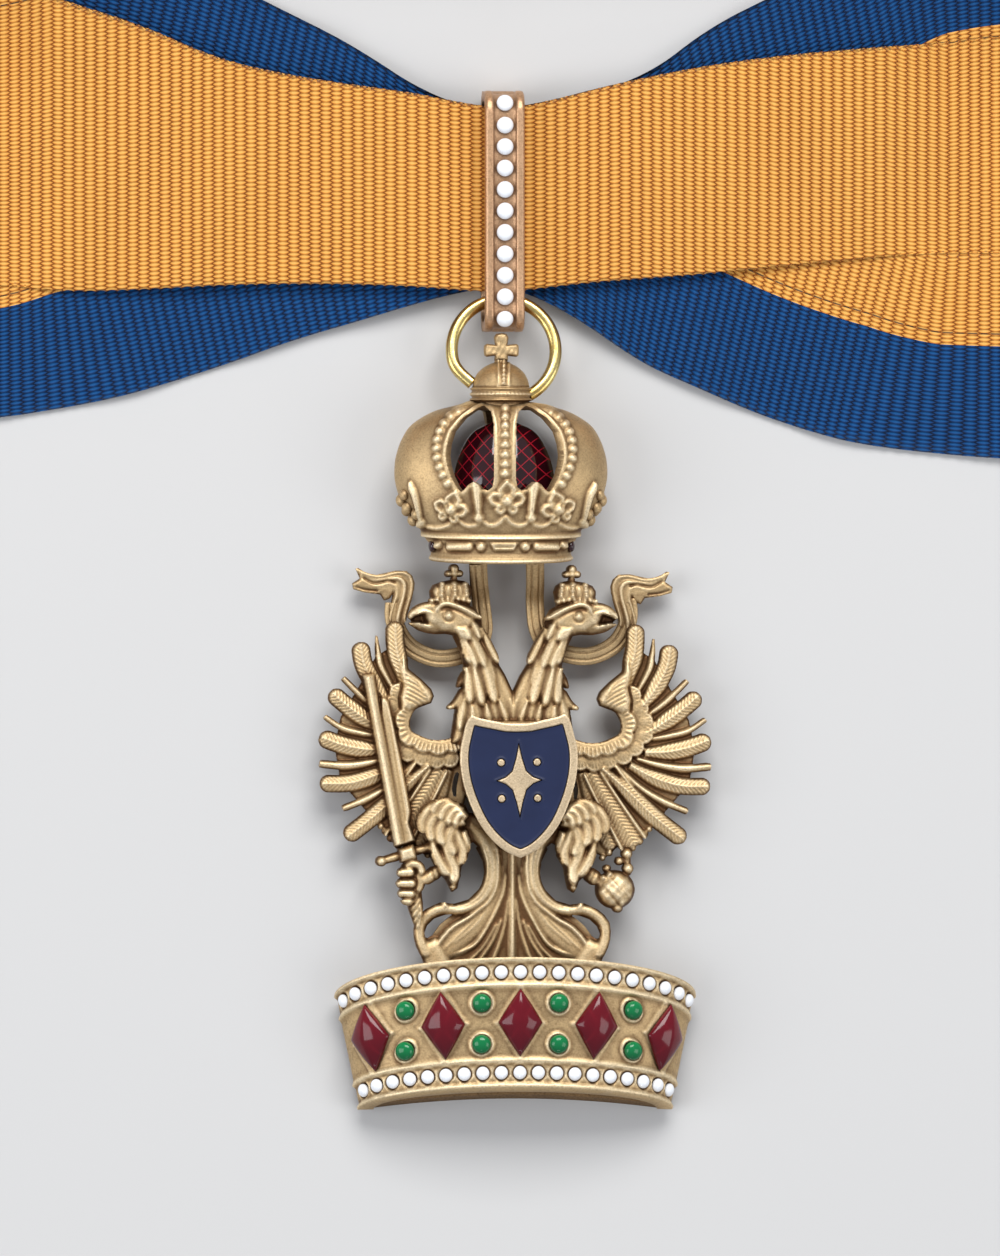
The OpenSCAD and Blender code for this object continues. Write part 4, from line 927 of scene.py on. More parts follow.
def relief_mesh(R, name, mat, top_z=EAGLE_Z, lean_z=3.8):
    """Closed mesh of a relief: its top, walls down to the flat back, and the back."""
    step = R.step
    d = R.d
    inside = (d > -0.5 * step).astype(float)
    h = np.maximum(R.h, 0.35)
    h = blur(h * inside, 1) / np.maximum(blur(inside, 1), 0.05)
    ok = d > -0.5 * step
    cell = ok[:-1, :-1] & ok[1:, :-1] & ok[1:, 1:] & ok[:-1, 1:]
    mx, my = to_outline(d, rim_points(cell))
    x, y = R.gx + mx * step, R.gy + my * step
    # wear and painted shade: lower than its surroundings is darker, higher is lighter, plus the tone that
    # darken lowers
    wear_and_shade = np.clip(0.5 + 3.0 * stands_out(h, d > 0, 3) + 0.6 * stands_out(h, d > 0, 9) + R.tone, 0, 1)
    I, J = np.nonzero(cell)
    used = np.zeros(ok.shape, bool)
    for di in (0, 1):
        for dj in (0, 1):
            used[I + di, J + dj] = True
    num = np.full(ok.shape, -1)
    num[used] = np.arange(used.sum())
    vx = (x[used] - ZERO_COL) * UNIT - LEAN * lean_z
    vy = (ZERO_ROW - y[used]) * UNIT
    vz = top_z + h[used]
    top = np.stack([vx, vy, vz], 1)
    a, b = num[I, J], num[I + 1, J]
    c, e = num[I + 1, J + 1], num[I, J + 1]
    quads = np.stack([a, e, c, b], 1)
    rim = border_edges(quads, len(top))
    rim_verts = np.unique(rim)
    low = np.full(len(top), -1)
    low[rim_verts] = len(top) + np.arange(len(rim_verts))
    bottom = top[rim_verts].copy()
    bottom[:, 2] = top_z
    walls = np.stack([rim[:, 1], rim[:, 0], low[rim[:, 0]], low[rim[:, 1]]], 1)
    verts = np.concatenate([top, bottom])
    # painted shade: the walls are darker than the top
    wear_and_shade_v = np.concatenate([wear_and_shade[used], np.full(len(rim_verts), 0.2)])
    obj = make_mesh(name, verts, np.concatenate([quads, walls]), mat, attrs={"wear_and_shade": wear_and_shade_v})
    bm = bmesh.new()
    bm.from_mesh(obj.data)
    bm.verts.ensure_lookup_table()
    n_top = len(top)
    edges = [ed for ed in bm.edges if ed.is_boundary and min(v.index for v in ed.verts) >= n_top]
    bmesh.ops.triangle_fill(bm, use_beauty=False, use_dissolve=False, edges=edges, normal=(0, 0, -1))
    bmesh.ops.recalc_face_normals(bm, faces=bm.faces)
    mark_sharp(bm, 1.0)
    for f in bm.faces:
        f.smooth = True
    bm.to_mesh(obj.data)
    bm.free()
    return obj


# Wings
def draw_wing(R):
    """Right wing, as seen from the front; the left one is its mirror image."""
    # plate that carries the feathers
    plate(R, [(560, 742), (573, 739), (584, 745), (602, 743.7), (617, 738.6), (625, 725.8), (622.4, 715.6),
              (612, 710.5), (600, 706), (597.5, 699), (600, 692), (609.7, 682.4), (622.4, 672), (627.6, 655),
              (640, 650), (655, 660), (672, 690), (690, 720), (696, 750), (690, 785), (672, 805), (655, 826),
              (640, 841), (633, 848), (620, 846), (606, 858), (590, 850), (570, 820), (562, 790)], 0.75, 3)
    # feathers, from the lowest layer up
    slim = [[(637.6, 692.9, 2.0), (650, 670, 3.2), (653, 655, 2.8), (654.5, 639, 0.9)],
            [(650, 714, 2.2), (664, 704, 3.0), (676, 693, 3.1), (688.2, 680.8, 2.9)],
            [(652, 738.8, 2.0), (672, 735.5, 2.8), (690, 730.5, 2.9), (706.5, 719.5, 2.7)],
            [(637, 758.5, 2.0), (660, 765, 3.4), (685, 768.5, 4.1), (711.5, 766.7, 4.2)],
            [(616, 764, 2.0), (640, 787, 3.0), (664, 801.5, 3.4), (688.4, 811.6, 3.6)]]
    for pts in slim:
        rod(R, pts, 0.95, flat=-0.35, blunt=pts[-1][2] > 1)
    big = [([(627, 686), (631, 668), (635.5, 648), (636, 624.5)], 18.5, 1.3, 0.55),
           ([(643, 706), (655, 690), (667, 668), (671, 645)], 18.5, 1.18, 0.6),
           ([(646, 734), (664, 723), (685, 708), (700.5, 694.5)], 18.0, 1.1, 0.6),
           ([(645, 752.5), (668, 752), (690, 747.5), (711.5, 739.5)], 18.5, 1.06, 0.6),
           ([(630, 765), (655, 778), (682, 786), (711, 786.5)], 17.5, 1.1, 0.55),
           ([(602, 768), (630, 793), (655, 817), (685.5, 841)], 18.0, 1.18, 0.5)]
    for line, width, base, root in big:
        feather(R, line, width, base, root=root)
    # broad inner feathers with fine straight shafts, behind the leg
    feather(R, [(590, 772), (607, 800), (622, 825), (636, 847)], 24, 1.0, dome=0.2, barb=0.06, slope=0.75,
            root=0.7, tip=0.7, shaft=0.0)
    feather(R, [(583, 772), (592, 800), (603, 828), (614, 850)], 17, 0.95, dome=0.15, barb=0.05, slope=0.75,
            root=0.7, tip=1.2, shaft=0.0)
    for pts in ([(601, 772.5, 1.1), (622, 804, 1.1), (646, 838.5, 1.2)],
                [(585, 776, 1.0), (604, 815, 1.0), (623.5, 851.5, 1.1)],
                [(616, 766, 1.2), (628, 782, 1.2), (648, 806, 1.0)]):
        rod(R, pts, 1.32, flat=-0.3, blunt=False)
    # ragged tips under the broad feathers
    for c, r in (((645, 834), 4), ((640, 841), 4), ((622, 846), 3.4), ((633, 848), 3.6), ((610, 853), 3.2),
                 ((603, 858), 3.0), ((650, 829), 3.2)):
        blob(R, c, r, 0.8, 0.35)
    # small coverts along the feather roots
    second = [((634, 695), (0.9, -0.3)), ((641.5, 708.5), (1, 0)), ((646, 721.5), (1, 0)),
              ((645.5, 735), (1, 0.15)), ((636.5, 748), (0.8, 0.6)), ((624.5, 757), (0.5, 0.9)),
              ((608.5, 761.5), (0.15, 1)), ((594, 764), (0, 1)), ((580.5, 763), (-0.1, 1))]
    for c, f in second:
        scallop(R, (c[0] - 1.5 * f[0], c[1] - 1.5 * f[1]), 8.6, f, 1.34, dome=0.14)
    # ruffled band beside the inner edge, ribbed across, with a wavy outer edge
    inner = [(612, 705), (620, 713), (624.5, 724), (622.5, 735), (613, 741), (600, 745.5), (586, 745.5),
             (571, 741)]
    line = curve(inner, 60)
    win = R.window(line, 18)
    s, t, length = along_curve(R.px[win], R.py[win], line)
    lobes = np.abs(np.sin(math.pi * s / (length / 6.0)))
    outer = 8.5 + 3.6 * lobes ** 0.7
    d = np.minimum(outer + t, 3.0 - t)
    d = np.where((s < 0) | (s > length), -9, d)
    share = np.clip(-t / np.maximum(outer, 1), 0, 1)
    ribs = 0.07 * np.cos(2 * math.pi * s / (length / 24.0)) * smoothstep(0.1, 0.4, share)
    R.put(win, d, 1.62 + 0.16 * share + ribs * smoothstep(0.3, 1.8, d) - 0.25 * (1 - round_edge(d, 2.4)))
    # wrist, a smooth swell with fine lines across it
    plate(R, [(627.6, 655), (623, 672), (609.7, 682.4), (600, 692), (597.3, 699), (600, 706), (612, 710.5),
              (622.4, 715.6), (630, 712), (632, 700), (629, 688), (633, 672)], 2.0, 8)
    for k in range(6):
        y = 681 + 4.6 * k
        score(R, [(603 + 2.4 * abs(k - 3), y + 10), (615, y + 3), (627, y - 3)], 0.11, 0.8)
    score(R, [(633, 676), (629.5, 689), (632, 700), (631.5, 712)], 0.2, 0.9)
    # through slot beside the shield
    R.cut([(571.5, 777), (573.5, 774.5), (576, 777), (578, 784), (579, 792), (577.5, 799), (574.5, 800),
           (574, 790)])


def draw_blade(R):
    """Blade of the sword in the left claw, with the broader strip beside it."""
    strip = [(379.6, 698), (384, 696.5), (388, 701), (393, 722.7), (399.5, 754), (406, 787.4), (410.5, 812),
             (408.8, 823), (412, 832), (414.5, 841), (403, 846), (392, 780), (380, 715)]
    plate(R, strip, 2.05, 2.4)
    score(R, [(386, 704), (391, 735), (399, 785), (405.5, 822)], 0.1, 0.8)
    blade = [(363.5, 676), (372.5, 674.5), (405.8, 844), (394.3, 846.5)]
    win = R.window(blade, 3)
    x, y = R.px[win], R.py[win]
    d = poly_distance(x, y, blade)
    _, t, _ = along_curve(x, y, np.array([(368, 675), (400, 845)], float))
    # two planes that meet in a line left of the middle
    h = 2.55 - np.where(t > 1.3, 0.07 * (t - 1.3), 0.072 * (1.3 - t))
    R.put(win, d, h * (0.8 + 0.2 * round_edge(d, 1.2)))


def draw_hilt(R):
    """Guard, grip and fist."""
    rod(R, [(379, 861.3, 5.0), (384, 860, 3.9), (396, 856.5, 4.4), (414, 851, 4.6), (424, 848.5, 4.2),
            (429.5, 846.8, 4.8)], 1.9, flat=-0.2, blunt=False)
    blob(R, (380.5, 861), 5.2, 1.9, 0.75)
    blob(R, (428, 847.3), 5.2, 1.9, 0.7)
    block = [(397, 848.5), (412.5, 844), (416.5, 858.5), (400, 863)]
    plate(R, block, 3.15, 4)
    # grip, twisted below the fist
    rod(R, [(406, 862, 7.5), (411, 880, 8.2), (413.5, 896, 8.0), (416.2, 912, 6.4), (417.4, 928.5, 1.6)], 1.5,
        flat=0.0, blunt=False)
    for k in range(5):
        y0 = 893 + 7.5 * k
        score(R, [(407.5 + 0.8 * k, y0 + 7), (414.5 + 0.3 * k, y0 + 1), (421 - 0.5 * k, y0 - 7)], 0.24, 1.2)
    # fist: four curled fingers and the thumb
    for x0, y0, x1, y1, r in ((397, 873, 413, 871.5, 5.4), (396.5, 883.3, 414, 883, 5.6),
                              (398, 893, 413.5, 893.8, 5.2), (401.5, 900.5, 411.5, 901.2, 4.2)):
        rod(R, [(x0, y0, r), (x1, y1, r)], 2.35, flat=-0.25, blunt=False)
    rod(R, [(404, 866.5, 3.2), (411, 863.5, 4.6), (418.5, 866, 4.4), (421, 874, 4.2)], 2.4, flat=-0.15,
        blunt=False)
    rod(R, [(417, 872, 5.0), (419.5, 882, 5.0), (416.5, 892, 4.0)], 2.0, flat=-0.1, blunt=False)
    for y0 in (878, 888.3, 897.6):
        score(R, [(394, y0), (405, y0 + 0.6), (415, y0 + 0.4)], 0.25, 0.9)


def draw_orb(R):
    """Orb in the right claw, with a knobby band and a small leafed top."""
    c = np.array([615.2, 889.5])
    blob(R, c, 19.4, 1.3, 1.95)
    win = R.window([c], 22)
    rho = np.hypot(R.px[win] - c[0], R.py[win] - c[1])
    lump = 0.09 * np.cos((R.px[win] - 600) * 0.55) * np.cos((R.py[win] - 870) * 0.6 + 0.04 * R.px[win])
    R.add(win, np.where(rho < 18, lump, 0) * smoothstep(19, 15, rho))
    for i in range(5):
        blob(R, (603 + 4.4 * i, 878 + 6.2 * i), 2.3, 2.75 - 0.06 * (i - 2) ** 2, 0.35, False)
    for i in range(4):
        blob(R, (609 + 4.6 * i, 874.5 + 6.4 * i), 1.9, 2.85 - 0.07 * (i - 1.5) ** 2, 0.3, False)
    score(R, [(601, 884), (608, 893), (617, 903), (622, 908)], 0.16, 1.0)
    score(R, [(606, 872), (614, 881), (624, 893), (629, 900)], 0.14, 1.0)
    blob(R, (617.5, 907.5), 5.2, 1.7, 0.8)
    rod(R, [(627.6, 876, 3.6), (627.3, 866, 3.2), (627, 853, 3.4)], 1.75, flat=0.0, blunt=False)
    blob(R, (626.8, 853.5), 5.4, 1.75, 0.75)
    blob(R, (627.8, 868.5), 5.3, 1.9, 0.7)
    blob(R, (619.5, 861), 4.4, 1.6, 0.5)
    blob(R, (607, 868.5), 4.0, 1.6, 0.5)
    # ringed shank that holds it
    rod(R, [(585, 871, 8.2), (592, 876, 7.6), (600, 882, 8.4)], 1.5, flat=0.1, blunt=False)
    for k in range(4):
        x0 = 588.5 + 4.2 * k
        score(R, [(x0 - 4 + 0.6 * k, 880 + 3.2 * k), (x0 + 4.5, 866 + 2.6 * k)], 0.16, 0.9)


def draw_middle(R, left):
    """Half of the head, neck, leg and tail, in the places of the right half."""
    # Tail: smooth field, ribs and edge bands
    edge = [(530, 836), (540, 841), (548.4, 849), (541.8, 862), (539.6, 875.4), (544, 888.6), (555.7, 900.3),
            (570.4, 904.7), (584.3, 903.2), (596.8, 909), (605.6, 919.4), (610.8, 932.6), (608.6, 947.2),
            (603.4, 957.5), (598, 966), (590, 985), (500, 985), (500, 836)]
    plate(R, edge, 0.85, 4)
    # web that joins the tail's band to the leg
    plate(R, [(536, 818), (562, 812), (566, 836), (561, 848), (556, 845), (552, 843), (546, 848), (540, 858),
              (526, 852)], 1.5, 5)
    # smooth lobe between the two long ridges, and the full one below the loop
    plate(R, [(529, 850), (532, 880), (541, 903), (556, 914), (575, 927), (590, 944), (602, 964), (576, 962),
              (560, 950), (545, 936), (531, 914), (522, 893), (521, 868)], 1.18, 9, solid=False)
    plate(R, [(589, 938), (596, 941), (602, 940), (607, 934), (611, 936), (608.6, 947.2), (603.4, 957.5),
              (598, 972), (574, 972), (575, 960), (581, 948)], 1.5, 10)
    # darker tail ground: partly its own stippled finish, partly painted shade in the low ground between the
    # ribs
    R.darken([(515, 852), (521, 870), (521, 893), (531, 914), (545, 938), (560, 952), (582, 964), (590, 985),
              (515, 985)], 0.34)
    rod(R, [(512.5, 850, 2.0), (512.7, 900, 1.9), (513, 975, 1.7)], 1.0, flat=-0.5, blunt=False)
    ridges = [[(519, 876, 0.7), (522, 893, 1.2), (531, 915, 1.6), (546.7, 941.8, 1.7), (560, 951, 1.5),
               (577, 957, 1.0)],
              [(516.5, 900, 0.7), (520, 925, 1.0), (527, 948, 1.2), (536, 972, 1.0)],
              [(524, 922, 0.8), (533, 943, 1.2), (548, 965, 1.2)],
              [(529, 926, 0.8), (542, 948, 1.0), (558, 964, 0.8)],
              [(537, 909, 0.7), (550, 926, 1.1), (571, 944, 0.8)],
              [(546, 917, 0.7), (560, 930, 1.0), (580, 949, 0.8)]]
    for pts in ridges:
        rod(R, pts, 0.98, flat=-0.35, blunt=False, solid=False)
    for pts in ridges[4:]:
        rod(R, pts, 1.2, flat=-0.2, blunt=False, solid=False)
    # inner ridge of the outer band, then the band itself, which runs out into the loop
    rod(R, [(529, 848, 1.4), (527.4, 864, 1.8), (529, 886, 1.9), (536.4, 902, 1.9), (546.7, 911, 1.8),
            (558.4, 919.7, 1.8), (573, 928.5, 1.7), (585, 942, 1.5),
            (592, 957, 1.2)], 1.28, flat=-0.1, blunt=False)
    rod(R, [(556, 826, 6), (543, 838, 7), (536.5, 852, 6.6), (533.8, 868, 6.2), (536, 885, 6.4),
            (544, 898.5, 6.2), (556, 907.5, 5.4), (570, 910.5, 4.6), (584, 909.5, 4.8), (596, 914.5, 5.2),
            (604.5, 923.5, 5.2), (606, 935, 5.0), (603, 946, 5.5),
            (597, 957, 6)], 1.15, flat=0.25, blunt=False)
    score(R, [(541, 846), (535.6, 862), (536, 880), (543, 896), (556, 906), (570, 909)], 0.12, 0.9)
    rod(R, [(578, 908, 3.0), (582.6, 904.2, 2.4)], 1.3, blunt=False)
    # the pitted ground between the ribs is cut away as an opening
    R.cut([(570.5, 914.6), (580.4, 915.8), (590.7, 919.6), (598, 926.5), (601, 934), (600, 938), (596.8, 939),
           (592.2, 935.9), (584.8, 925.6), (576, 918.3)])
    # Neck: a smooth core under long overlapping feathers
    plate(R, [(511.6, 694.5), (520, 676), (533, 654.7), (544.8, 631), (544, 622), (550, 610), (560, 604),
              (580, 603), (596, 606), (604, 610), (600, 618), (590, 628), (573, 635), (563.8, 654.7),
              (560.5, 673), (564.7, 694.5), (569, 704), (571.3, 719.4), (575, 745), (500, 752),
              (505, 706)], 2.3, 9)
    # spurs of the throat
    for pts in ([(559, 672, 3.6), (563.5, 682, 4.2), (568.2, 688.4, 1.2)],
                [(560, 690, 5.0), (567, 703, 5.4), (578.2, 709.3, 1.6)]):
        rod(R, pts, 1.7, flat=0.0, blunt=False)
    rod(R, [(573, 708.5, 1.6), (577.5, 708, 1.8)], 2.1, blunt=False)
    tufts = [([(534, 668), (524, 700), (516, 726)], 9, 2.2), ([(541, 678), (533, 704), (528, 730)], 10, 2.3),
             ([(552, 690), (549, 712), (546, 735)], 11, 2.35),
             ([(560, 694), (563, 712), (566, 732)], 10, 2.3), ([(527, 700), (521, 716), (518, 734)], 8, 2.45),
             ([(540, 704), (537, 720), (536, 736)], 9, 2.5), ([(554, 706), (553, 720), (555, 738)], 9, 2.5),
             ([(515, 700), (512.5, 716), (512.5, 730)], 6, 2.2),
             ([(550, 642), (540, 664), (533, 690)], 11, 2.55),
             ([(558, 650), (550, 674), (545, 702)], 12, 2.6), ([(546, 655), (538, 678), (531, 704)], 10, 2.7),
             ([(560, 668), (556, 684), (556, 704)], 10, 2.65),
             ([(553, 664), (549, 682), (543.5, 706)], 8, 2.85),
             ([(545, 628), (538, 644), (528, 664)], 8, 2.5), ([(556, 630), (551, 646), (541, 668)], 10, 2.85),
             ([(567, 632), (560, 646), (557, 664)], 10, 2.8), ([(562, 640), (555, 654), (550, 668)], 8, 2.95),
             ([(556, 618), (552, 628), (546, 640)], 8, 2.8)]
    for line, width, base in tufts:
        leaf(R, line, width, base * 0.94, dome=0.3, rim=0.07, root=0.5, tip=2.6, lines=1 if width > 9 else 0)
    # Head: round skull, open hooked beak
    plate(R, [(548, 620), (551, 610), (560, 604.5), (575, 602), (590, 604), (600, 608.5), (602, 616),
              (598, 626), (585, 634), (568, 637), (556, 634)], 3.15, 11)
    leaf(R, [(572, 628), (563, 632), (556, 640)], 12, 3.0, dome=0.25, rim=0.05, tip=2.0)
    # dark mouth, as a low floor between the two halves of the beak
    plate(R, [(590, 612), (604, 611), (613, 615), (616, 619), (612, 624), (600, 629), (588, 629)], 1.5, 2)
    rod(R, [(588, 609.5, 6.0), (598, 608.2, 5.4), (607, 610.2, 4.2), (613.2, 614.5, 2.8),
            (616.2, 619.2, 1.1)], 2.5,
        flat=0.0, blunt=False)
    rod(R, [(576, 629, 5.5), (590, 630.5, 4.8), (603, 629, 3.6), (611.5, 625.8, 2.0), (616, 624, 0.8)], 2.05,
        flat=0.05, blunt=False)
    rod(R, [(578, 626, 1.5), (586, 619.5, 1.5), (594, 614.2, 1.5), (602, 612.2, 1.2), (609, 614.6, 0.9)], 3.0,
        blunt=False, solid=False)
    rod(R, [(578, 627.5, 1.4), (588, 627.6, 1.5), (600, 626.6, 1.2), (611, 624.2, 0.8)], 2.62, blunt=False,
        solid=False)
    score(R, [(574, 632), (586, 634), (598, 632.4), (606, 629)], 0.16, 0.8)
    # brow that ends in a point at the back, and the eye
    rod(R, [(590, 612, 1.4), (586.5, 606.5, 1.9), (579, 604.4, 2.0), (566, 608.4, 2.0), (554, 614.5, 1.9),
            (545.2, 619.2, 1.3)], 3.2, flat=-0.2, blunt=False)
    score(R, [(586, 611), (578, 609.2), (566, 613), (556, 619)], 0.18, 1.1)
    blob(R, (577.6, 616.6), 5.4, 3.02, 0.34, False)
    score(R, [(571.8, 617), (575, 611.5), (580.5, 611.6), (583.4, 616.4)], 0.15, 0.8)
    score(R, [(571.8, 617), (575, 621.6), (580.5, 621.8), (583.4, 616.4)], 0.15, 0.8)
    blob(R, (577.4, 616.8), 2.6, 3.28, 0.26, False)
    for k in range(5):
        score(R, [(560 + 5 * k, 625 + 1.2 * k), (567 + 4.5 * k, 629.5 + 0.7 * k)], 0.08, 0.8)
    # Leg: curved layered feathers over a full thigh, then the ringed shank
    plate(R, [(563, 822), (556, 816), (560, 806), (570, 802), (582, 799.5), (595, 801), (604.5, 808),
              (608, 816), (606, 826), (600, 834), (596.5, 845), (594.5, 858), (588, 872), (579.2, 881),
              (573.3, 893), (568, 889), (565.5, 878), (564, 868), (557, 856), (558.7, 841.6)], 2.5, 12)
    scales = [([(572, 812), (590, 806), (604, 820), (603, 834)], 10, 2.95, 0),
              ([(568, 815), (584, 812), (596, 824), (595, 842)], 10, 3.1, 0),
              ([(566, 818), (578, 818), (587, 830), (584, 846)], 10, 3.15, 0),
              ([(562, 822), (573, 826), (579, 840), (572, 856)], 11, 3.05, 0),
              ([(585, 838), (578, 854), (572, 870), (573, 884)], 9.5, 3.0, 0),
              ([(594, 842), (590, 856), (583, 868), (577, 876)], 9.5, 2.9, 0),
              ([(572, 826), (568, 840), (564, 852), (566, 866)], 10, 2.8, 0),
              ([(562, 832), (560, 844), (560, 855)], 8, 2.5, 0),
              ([(568, 806), (580, 802), (590, 806), (594, 814)], 8, 3.1, 2),
              ([(564, 811), (576, 806), (584, 812), (586, 821)], 8, 3.3, 2),
              ([(562, 815), (570, 811), (577, 816), (578, 825)], 7.5, 3.4, 1),
              ([(560, 818), (565, 815.5), (570.5, 819), (571, 827)], 6.5, 3.45, 0)]
    for line, width, base, lines in scales:
        leaf(R, line, width, base * 0.97, dome=0.28, rim=0.08, root=0.55, tip=1.5, lines=lines)
    rod(R, [(569, 862, 3.4), (571.5, 876, 3.6), (573.2, 890, 2.6)], 2.3, flat=-0.1, blunt=False)
    if left:
        rod(R, [(586, 870, 8.0), (594, 876, 6.6), (604, 882, 6.8)], 1.9, flat=0.0, blunt=False)
        for x0 in (586.5, 592.5):
            score(R, [(x0 - 3, 884), (x0 + 3.6, 866)], 0.2, 1.1)
    # Small crown on the head
    body = [(555.5, 601), (554, 592), (556, 586), (562, 582), (571.5, 580.5), (583, 582.5), (592, 586),
            (595.5, 592), (594.5, 600), (592, 604.5), (575, 603), (558, 606)]
    plate(R, body, 3.1, 9)
    for x0, bend in ((561.5, -3.5), (571.8, -0.6), (583.8, 2.6)):
        for k in range(3):
            blob(R, (x0 + bend * (0.2 + 0.35 * k) * 0.5, 585.5 + 5.2 * k), 2.2, 3.0 + 0.05 * k, 0.42, False)
        score(R, [(x0 - 3 + bend * 0.1, 583.5), (x0 - 3.4 + bend * 0.5, 597)], 0.16, 0.8)
        score(R, [(x0 + 3 + bend * 0.1, 583.5), (x0 + 3.0 + bend * 0.5, 597)], 0.16, 0.8)
    rod(R, [(556.5, 605, 2.6), (570, 600.5, 2.8), (584, 599, 2.8), (595, 601, 2.4)], 2.5, flat=0.2,
        blunt=False)
    for k in range(8):
        u = k / 7
        blob(R, (557.5 + 37 * u, 605 - 6.4 * math.sin(math.pi * (0.18 + 0.5 * u)) + 2.0 * u), 2.0, 2.98, 0.34,
             True)
    # trefoil on its top
    rod(R, [(571.4, 584, 3.2), (571.5, 577, 2.6)], 2.3, flat=0.2, blunt=False)
    for x0, y0, r in ((571.5, 569.6, 4.6), (566.2, 574.6, 3.6), (576.8, 574.6, 3.6), (571.5, 574.5, 4.2)):
        blob(R, (x0, y0), r, 2.1, 0.6)


# Column of the picture that the eagle's body is mirrored about
MIDDLE_COL = 512.5


def make_eagle():
    """Two wings and the body between them; the left half is the right one mirrored."""
    fine = 0.74
    for name, mirror, shift, box in (("eagle_wing_right", None, 0.0, (552, 716, 618, 864)),
                                     ("eagle_wing_left", 515.5, 3.0, (315, 479, 615, 861))):
        R = Relief(*box, fine, mirror, shift)
        draw_wing(R)
        if mirror:
            R.px, R.py = R.gx, R.gy
            draw_blade(R)
        ride(relief_mesh(R, name, GILT), "eagle")
    step = 0.96
    left_edge = 373
    R = Relief(left_edge, 652, 558, 978, step)
    middle = int((MIDDLE_COL - left_edge) / step)
    # the two halves overlap by a few rows of the grid
    for rows, left in ((slice(middle - 3, None), False), (slice(None, middle + 4), True)):
        draw_middle(R.part(rows, left), left)
    draw_orb(R)
    draw_hilt(R)
    # body behind the shield
    plate(R, [(470, 720), (558, 720), (573, 745), (570, 790), (543, 828), (516, 848), (489, 828), (462, 790),
              (459, 745)], 3.3, 6)
    ride(relief_mesh(R, "eagle_body", GILT), "eagle")


make_eagle()

# Shield
SHIELD_SIDE = [(0.0, 0.065), (0.20, 0.062), (0.40, 0.045), (0.66, 0.022), (0.80, 0.0), (0.88, 0.05),
               (0.94, 0.14), (0.985, 0.22), (1.0, 0.30), (0.985, 0.40), (0.93, 0.51), (0.83, 0.63),
               (0.68, 0.76), (0.48, 0.87), (0.24, 0.955), (0.0, 1.0)]


def shield_loop():
    """Outline of the shield as an even closed loop."""
    half = np.array([(x * SHIELD_W / 2, -y * SHIELD_H) for x, y in SHIELD_SIDE])
    right = np.vstack([curve(half[:5], 12)[:-1], curve(half[4:], 30)])
    return np.vstack([right, (right * [-1, 1])[-2:0:-1]])


def turn_with_eagle(points):
    """Places points that are given from the eagle's own middle, X right and Y up."""
    p = np.array(points, float)
    a = math.radians(EAGLE_LEAN)
    x, y = p[:, 0].copy(), p[:, 1].copy()
    p[:, 0] = EAGLE_X + x * math.cos(a) - y * math.sin(a)
    p[:, 1] = EAGLE_Y + x * math.sin(a) + y * math.cos(a)
    return p


SHIELD_RIM = 8.8
SHIELD_FACE = SHIELD_Z + 1.0
STAR_H = 7.6


def make_shield():
    """Rim and star are one raised piece; the enamel lies between them."""
    def drawn(points):
        p = turn_with_eagle(np.asarray(points, float) + [0, SHIELD_TOP - EAGLE_Y])
        return np.stack([ZERO_COL + (p[:, 0] + LEAN * SHIELD_FACE) / UNIT, ZERO_ROW - p[:, 1] / UNIT], 1)

    outline = drawn(shield_loop())
    h = STAR_H / 2
    mid = -0.46 * SHIELD_H
    quarter = [(0, h), (0.09 * h, 0.58 * h), (0.19 * h, 0.25 * h), (0.36 * h, 0.10 * h), (0.62 * h, 0)]
    side = quarter + [(x, -y) for x, y in quarter[-2::-1]]
    star = drawn([(x, y + mid) for x, y in side + [(-x, y) for x, y in side[-2:0:-1]]])
    balls = drawn([(sx * 0.46 * h, mid + sy * 0.46 * h) for sx in (-1, 1) for sy in (-1, 1)])
    lo, hi = outline.min(0) - 2, outline.max(0) + 2
    step = 0.66
    R = Relief(lo[0], hi[0], lo[1], hi[1], step)
    d = poly_distance(R.px, R.py, outline)
    marks = poly_distance(R.px, R.py, star)
    for c in balls:
        marks = np.maximum(marks, 0.115 * h / UNIT - np.hypot(R.px - c[0], R.py - c[1]))
    R.d = d
    low, high = 0.4, 1.0
    rim = smoothstep(SHIELD_RIM + 0.5, SHIELD_RIM - 0.9, d) * (0.82 + 0.18 * round_edge(d, 1.8))
    R.h = low + (high - low) * np.maximum(rim, smoothstep(-0.5, 0.9, marks))
    ride(relief_mesh(R, "shield_rim", SMOOTH_GILT, top_z=SHIELD_Z, lean_z=SHIELD_FACE), "shield")
    E = Relief(lo[0], hi[0], lo[1], hi[1], step)
    E.d = np.minimum(d - SHIELD_RIM, -marks)
    E.h = 0.86 + 0.05 * np.exp(-(np.maximum(E.d, 0) / 1.5) ** 2)
    ride(relief_mesh(E, "shield_field", BLUE, top_z=SHIELD_Z, lean_z=SHIELD_FACE), "shield_enamel")


make_shield()


# Straps
STRAP_ROUTE = [(-7.3, 40.4, 4.7), (-7.2, 36, 3.3), (-6.9, 31, 2.0), (-7.0, 24, 2.0), (-9.5, 19.5, 2.0),
               (-14, 17.6, 2.0), (-18.5, 17.0, 2.0), (-22.5, 17.9, 2.0), (-26.4, 20.2, 2.0),
               (-28.9, 23.6, 2.0), (-30.1, 27.5, 2.0), (-29.9, 31.5, 2.0)]


def swept_piece(name, line, outline, mat):
    """Swept bar whose two end faces stay flat."""
    obj = recalc(make_mesh(name, *sweep(line, outline), mat))
    for poly in obj.data.polygons:
        poly.use_smooth = len(poly.vertices) < 5
    return obj


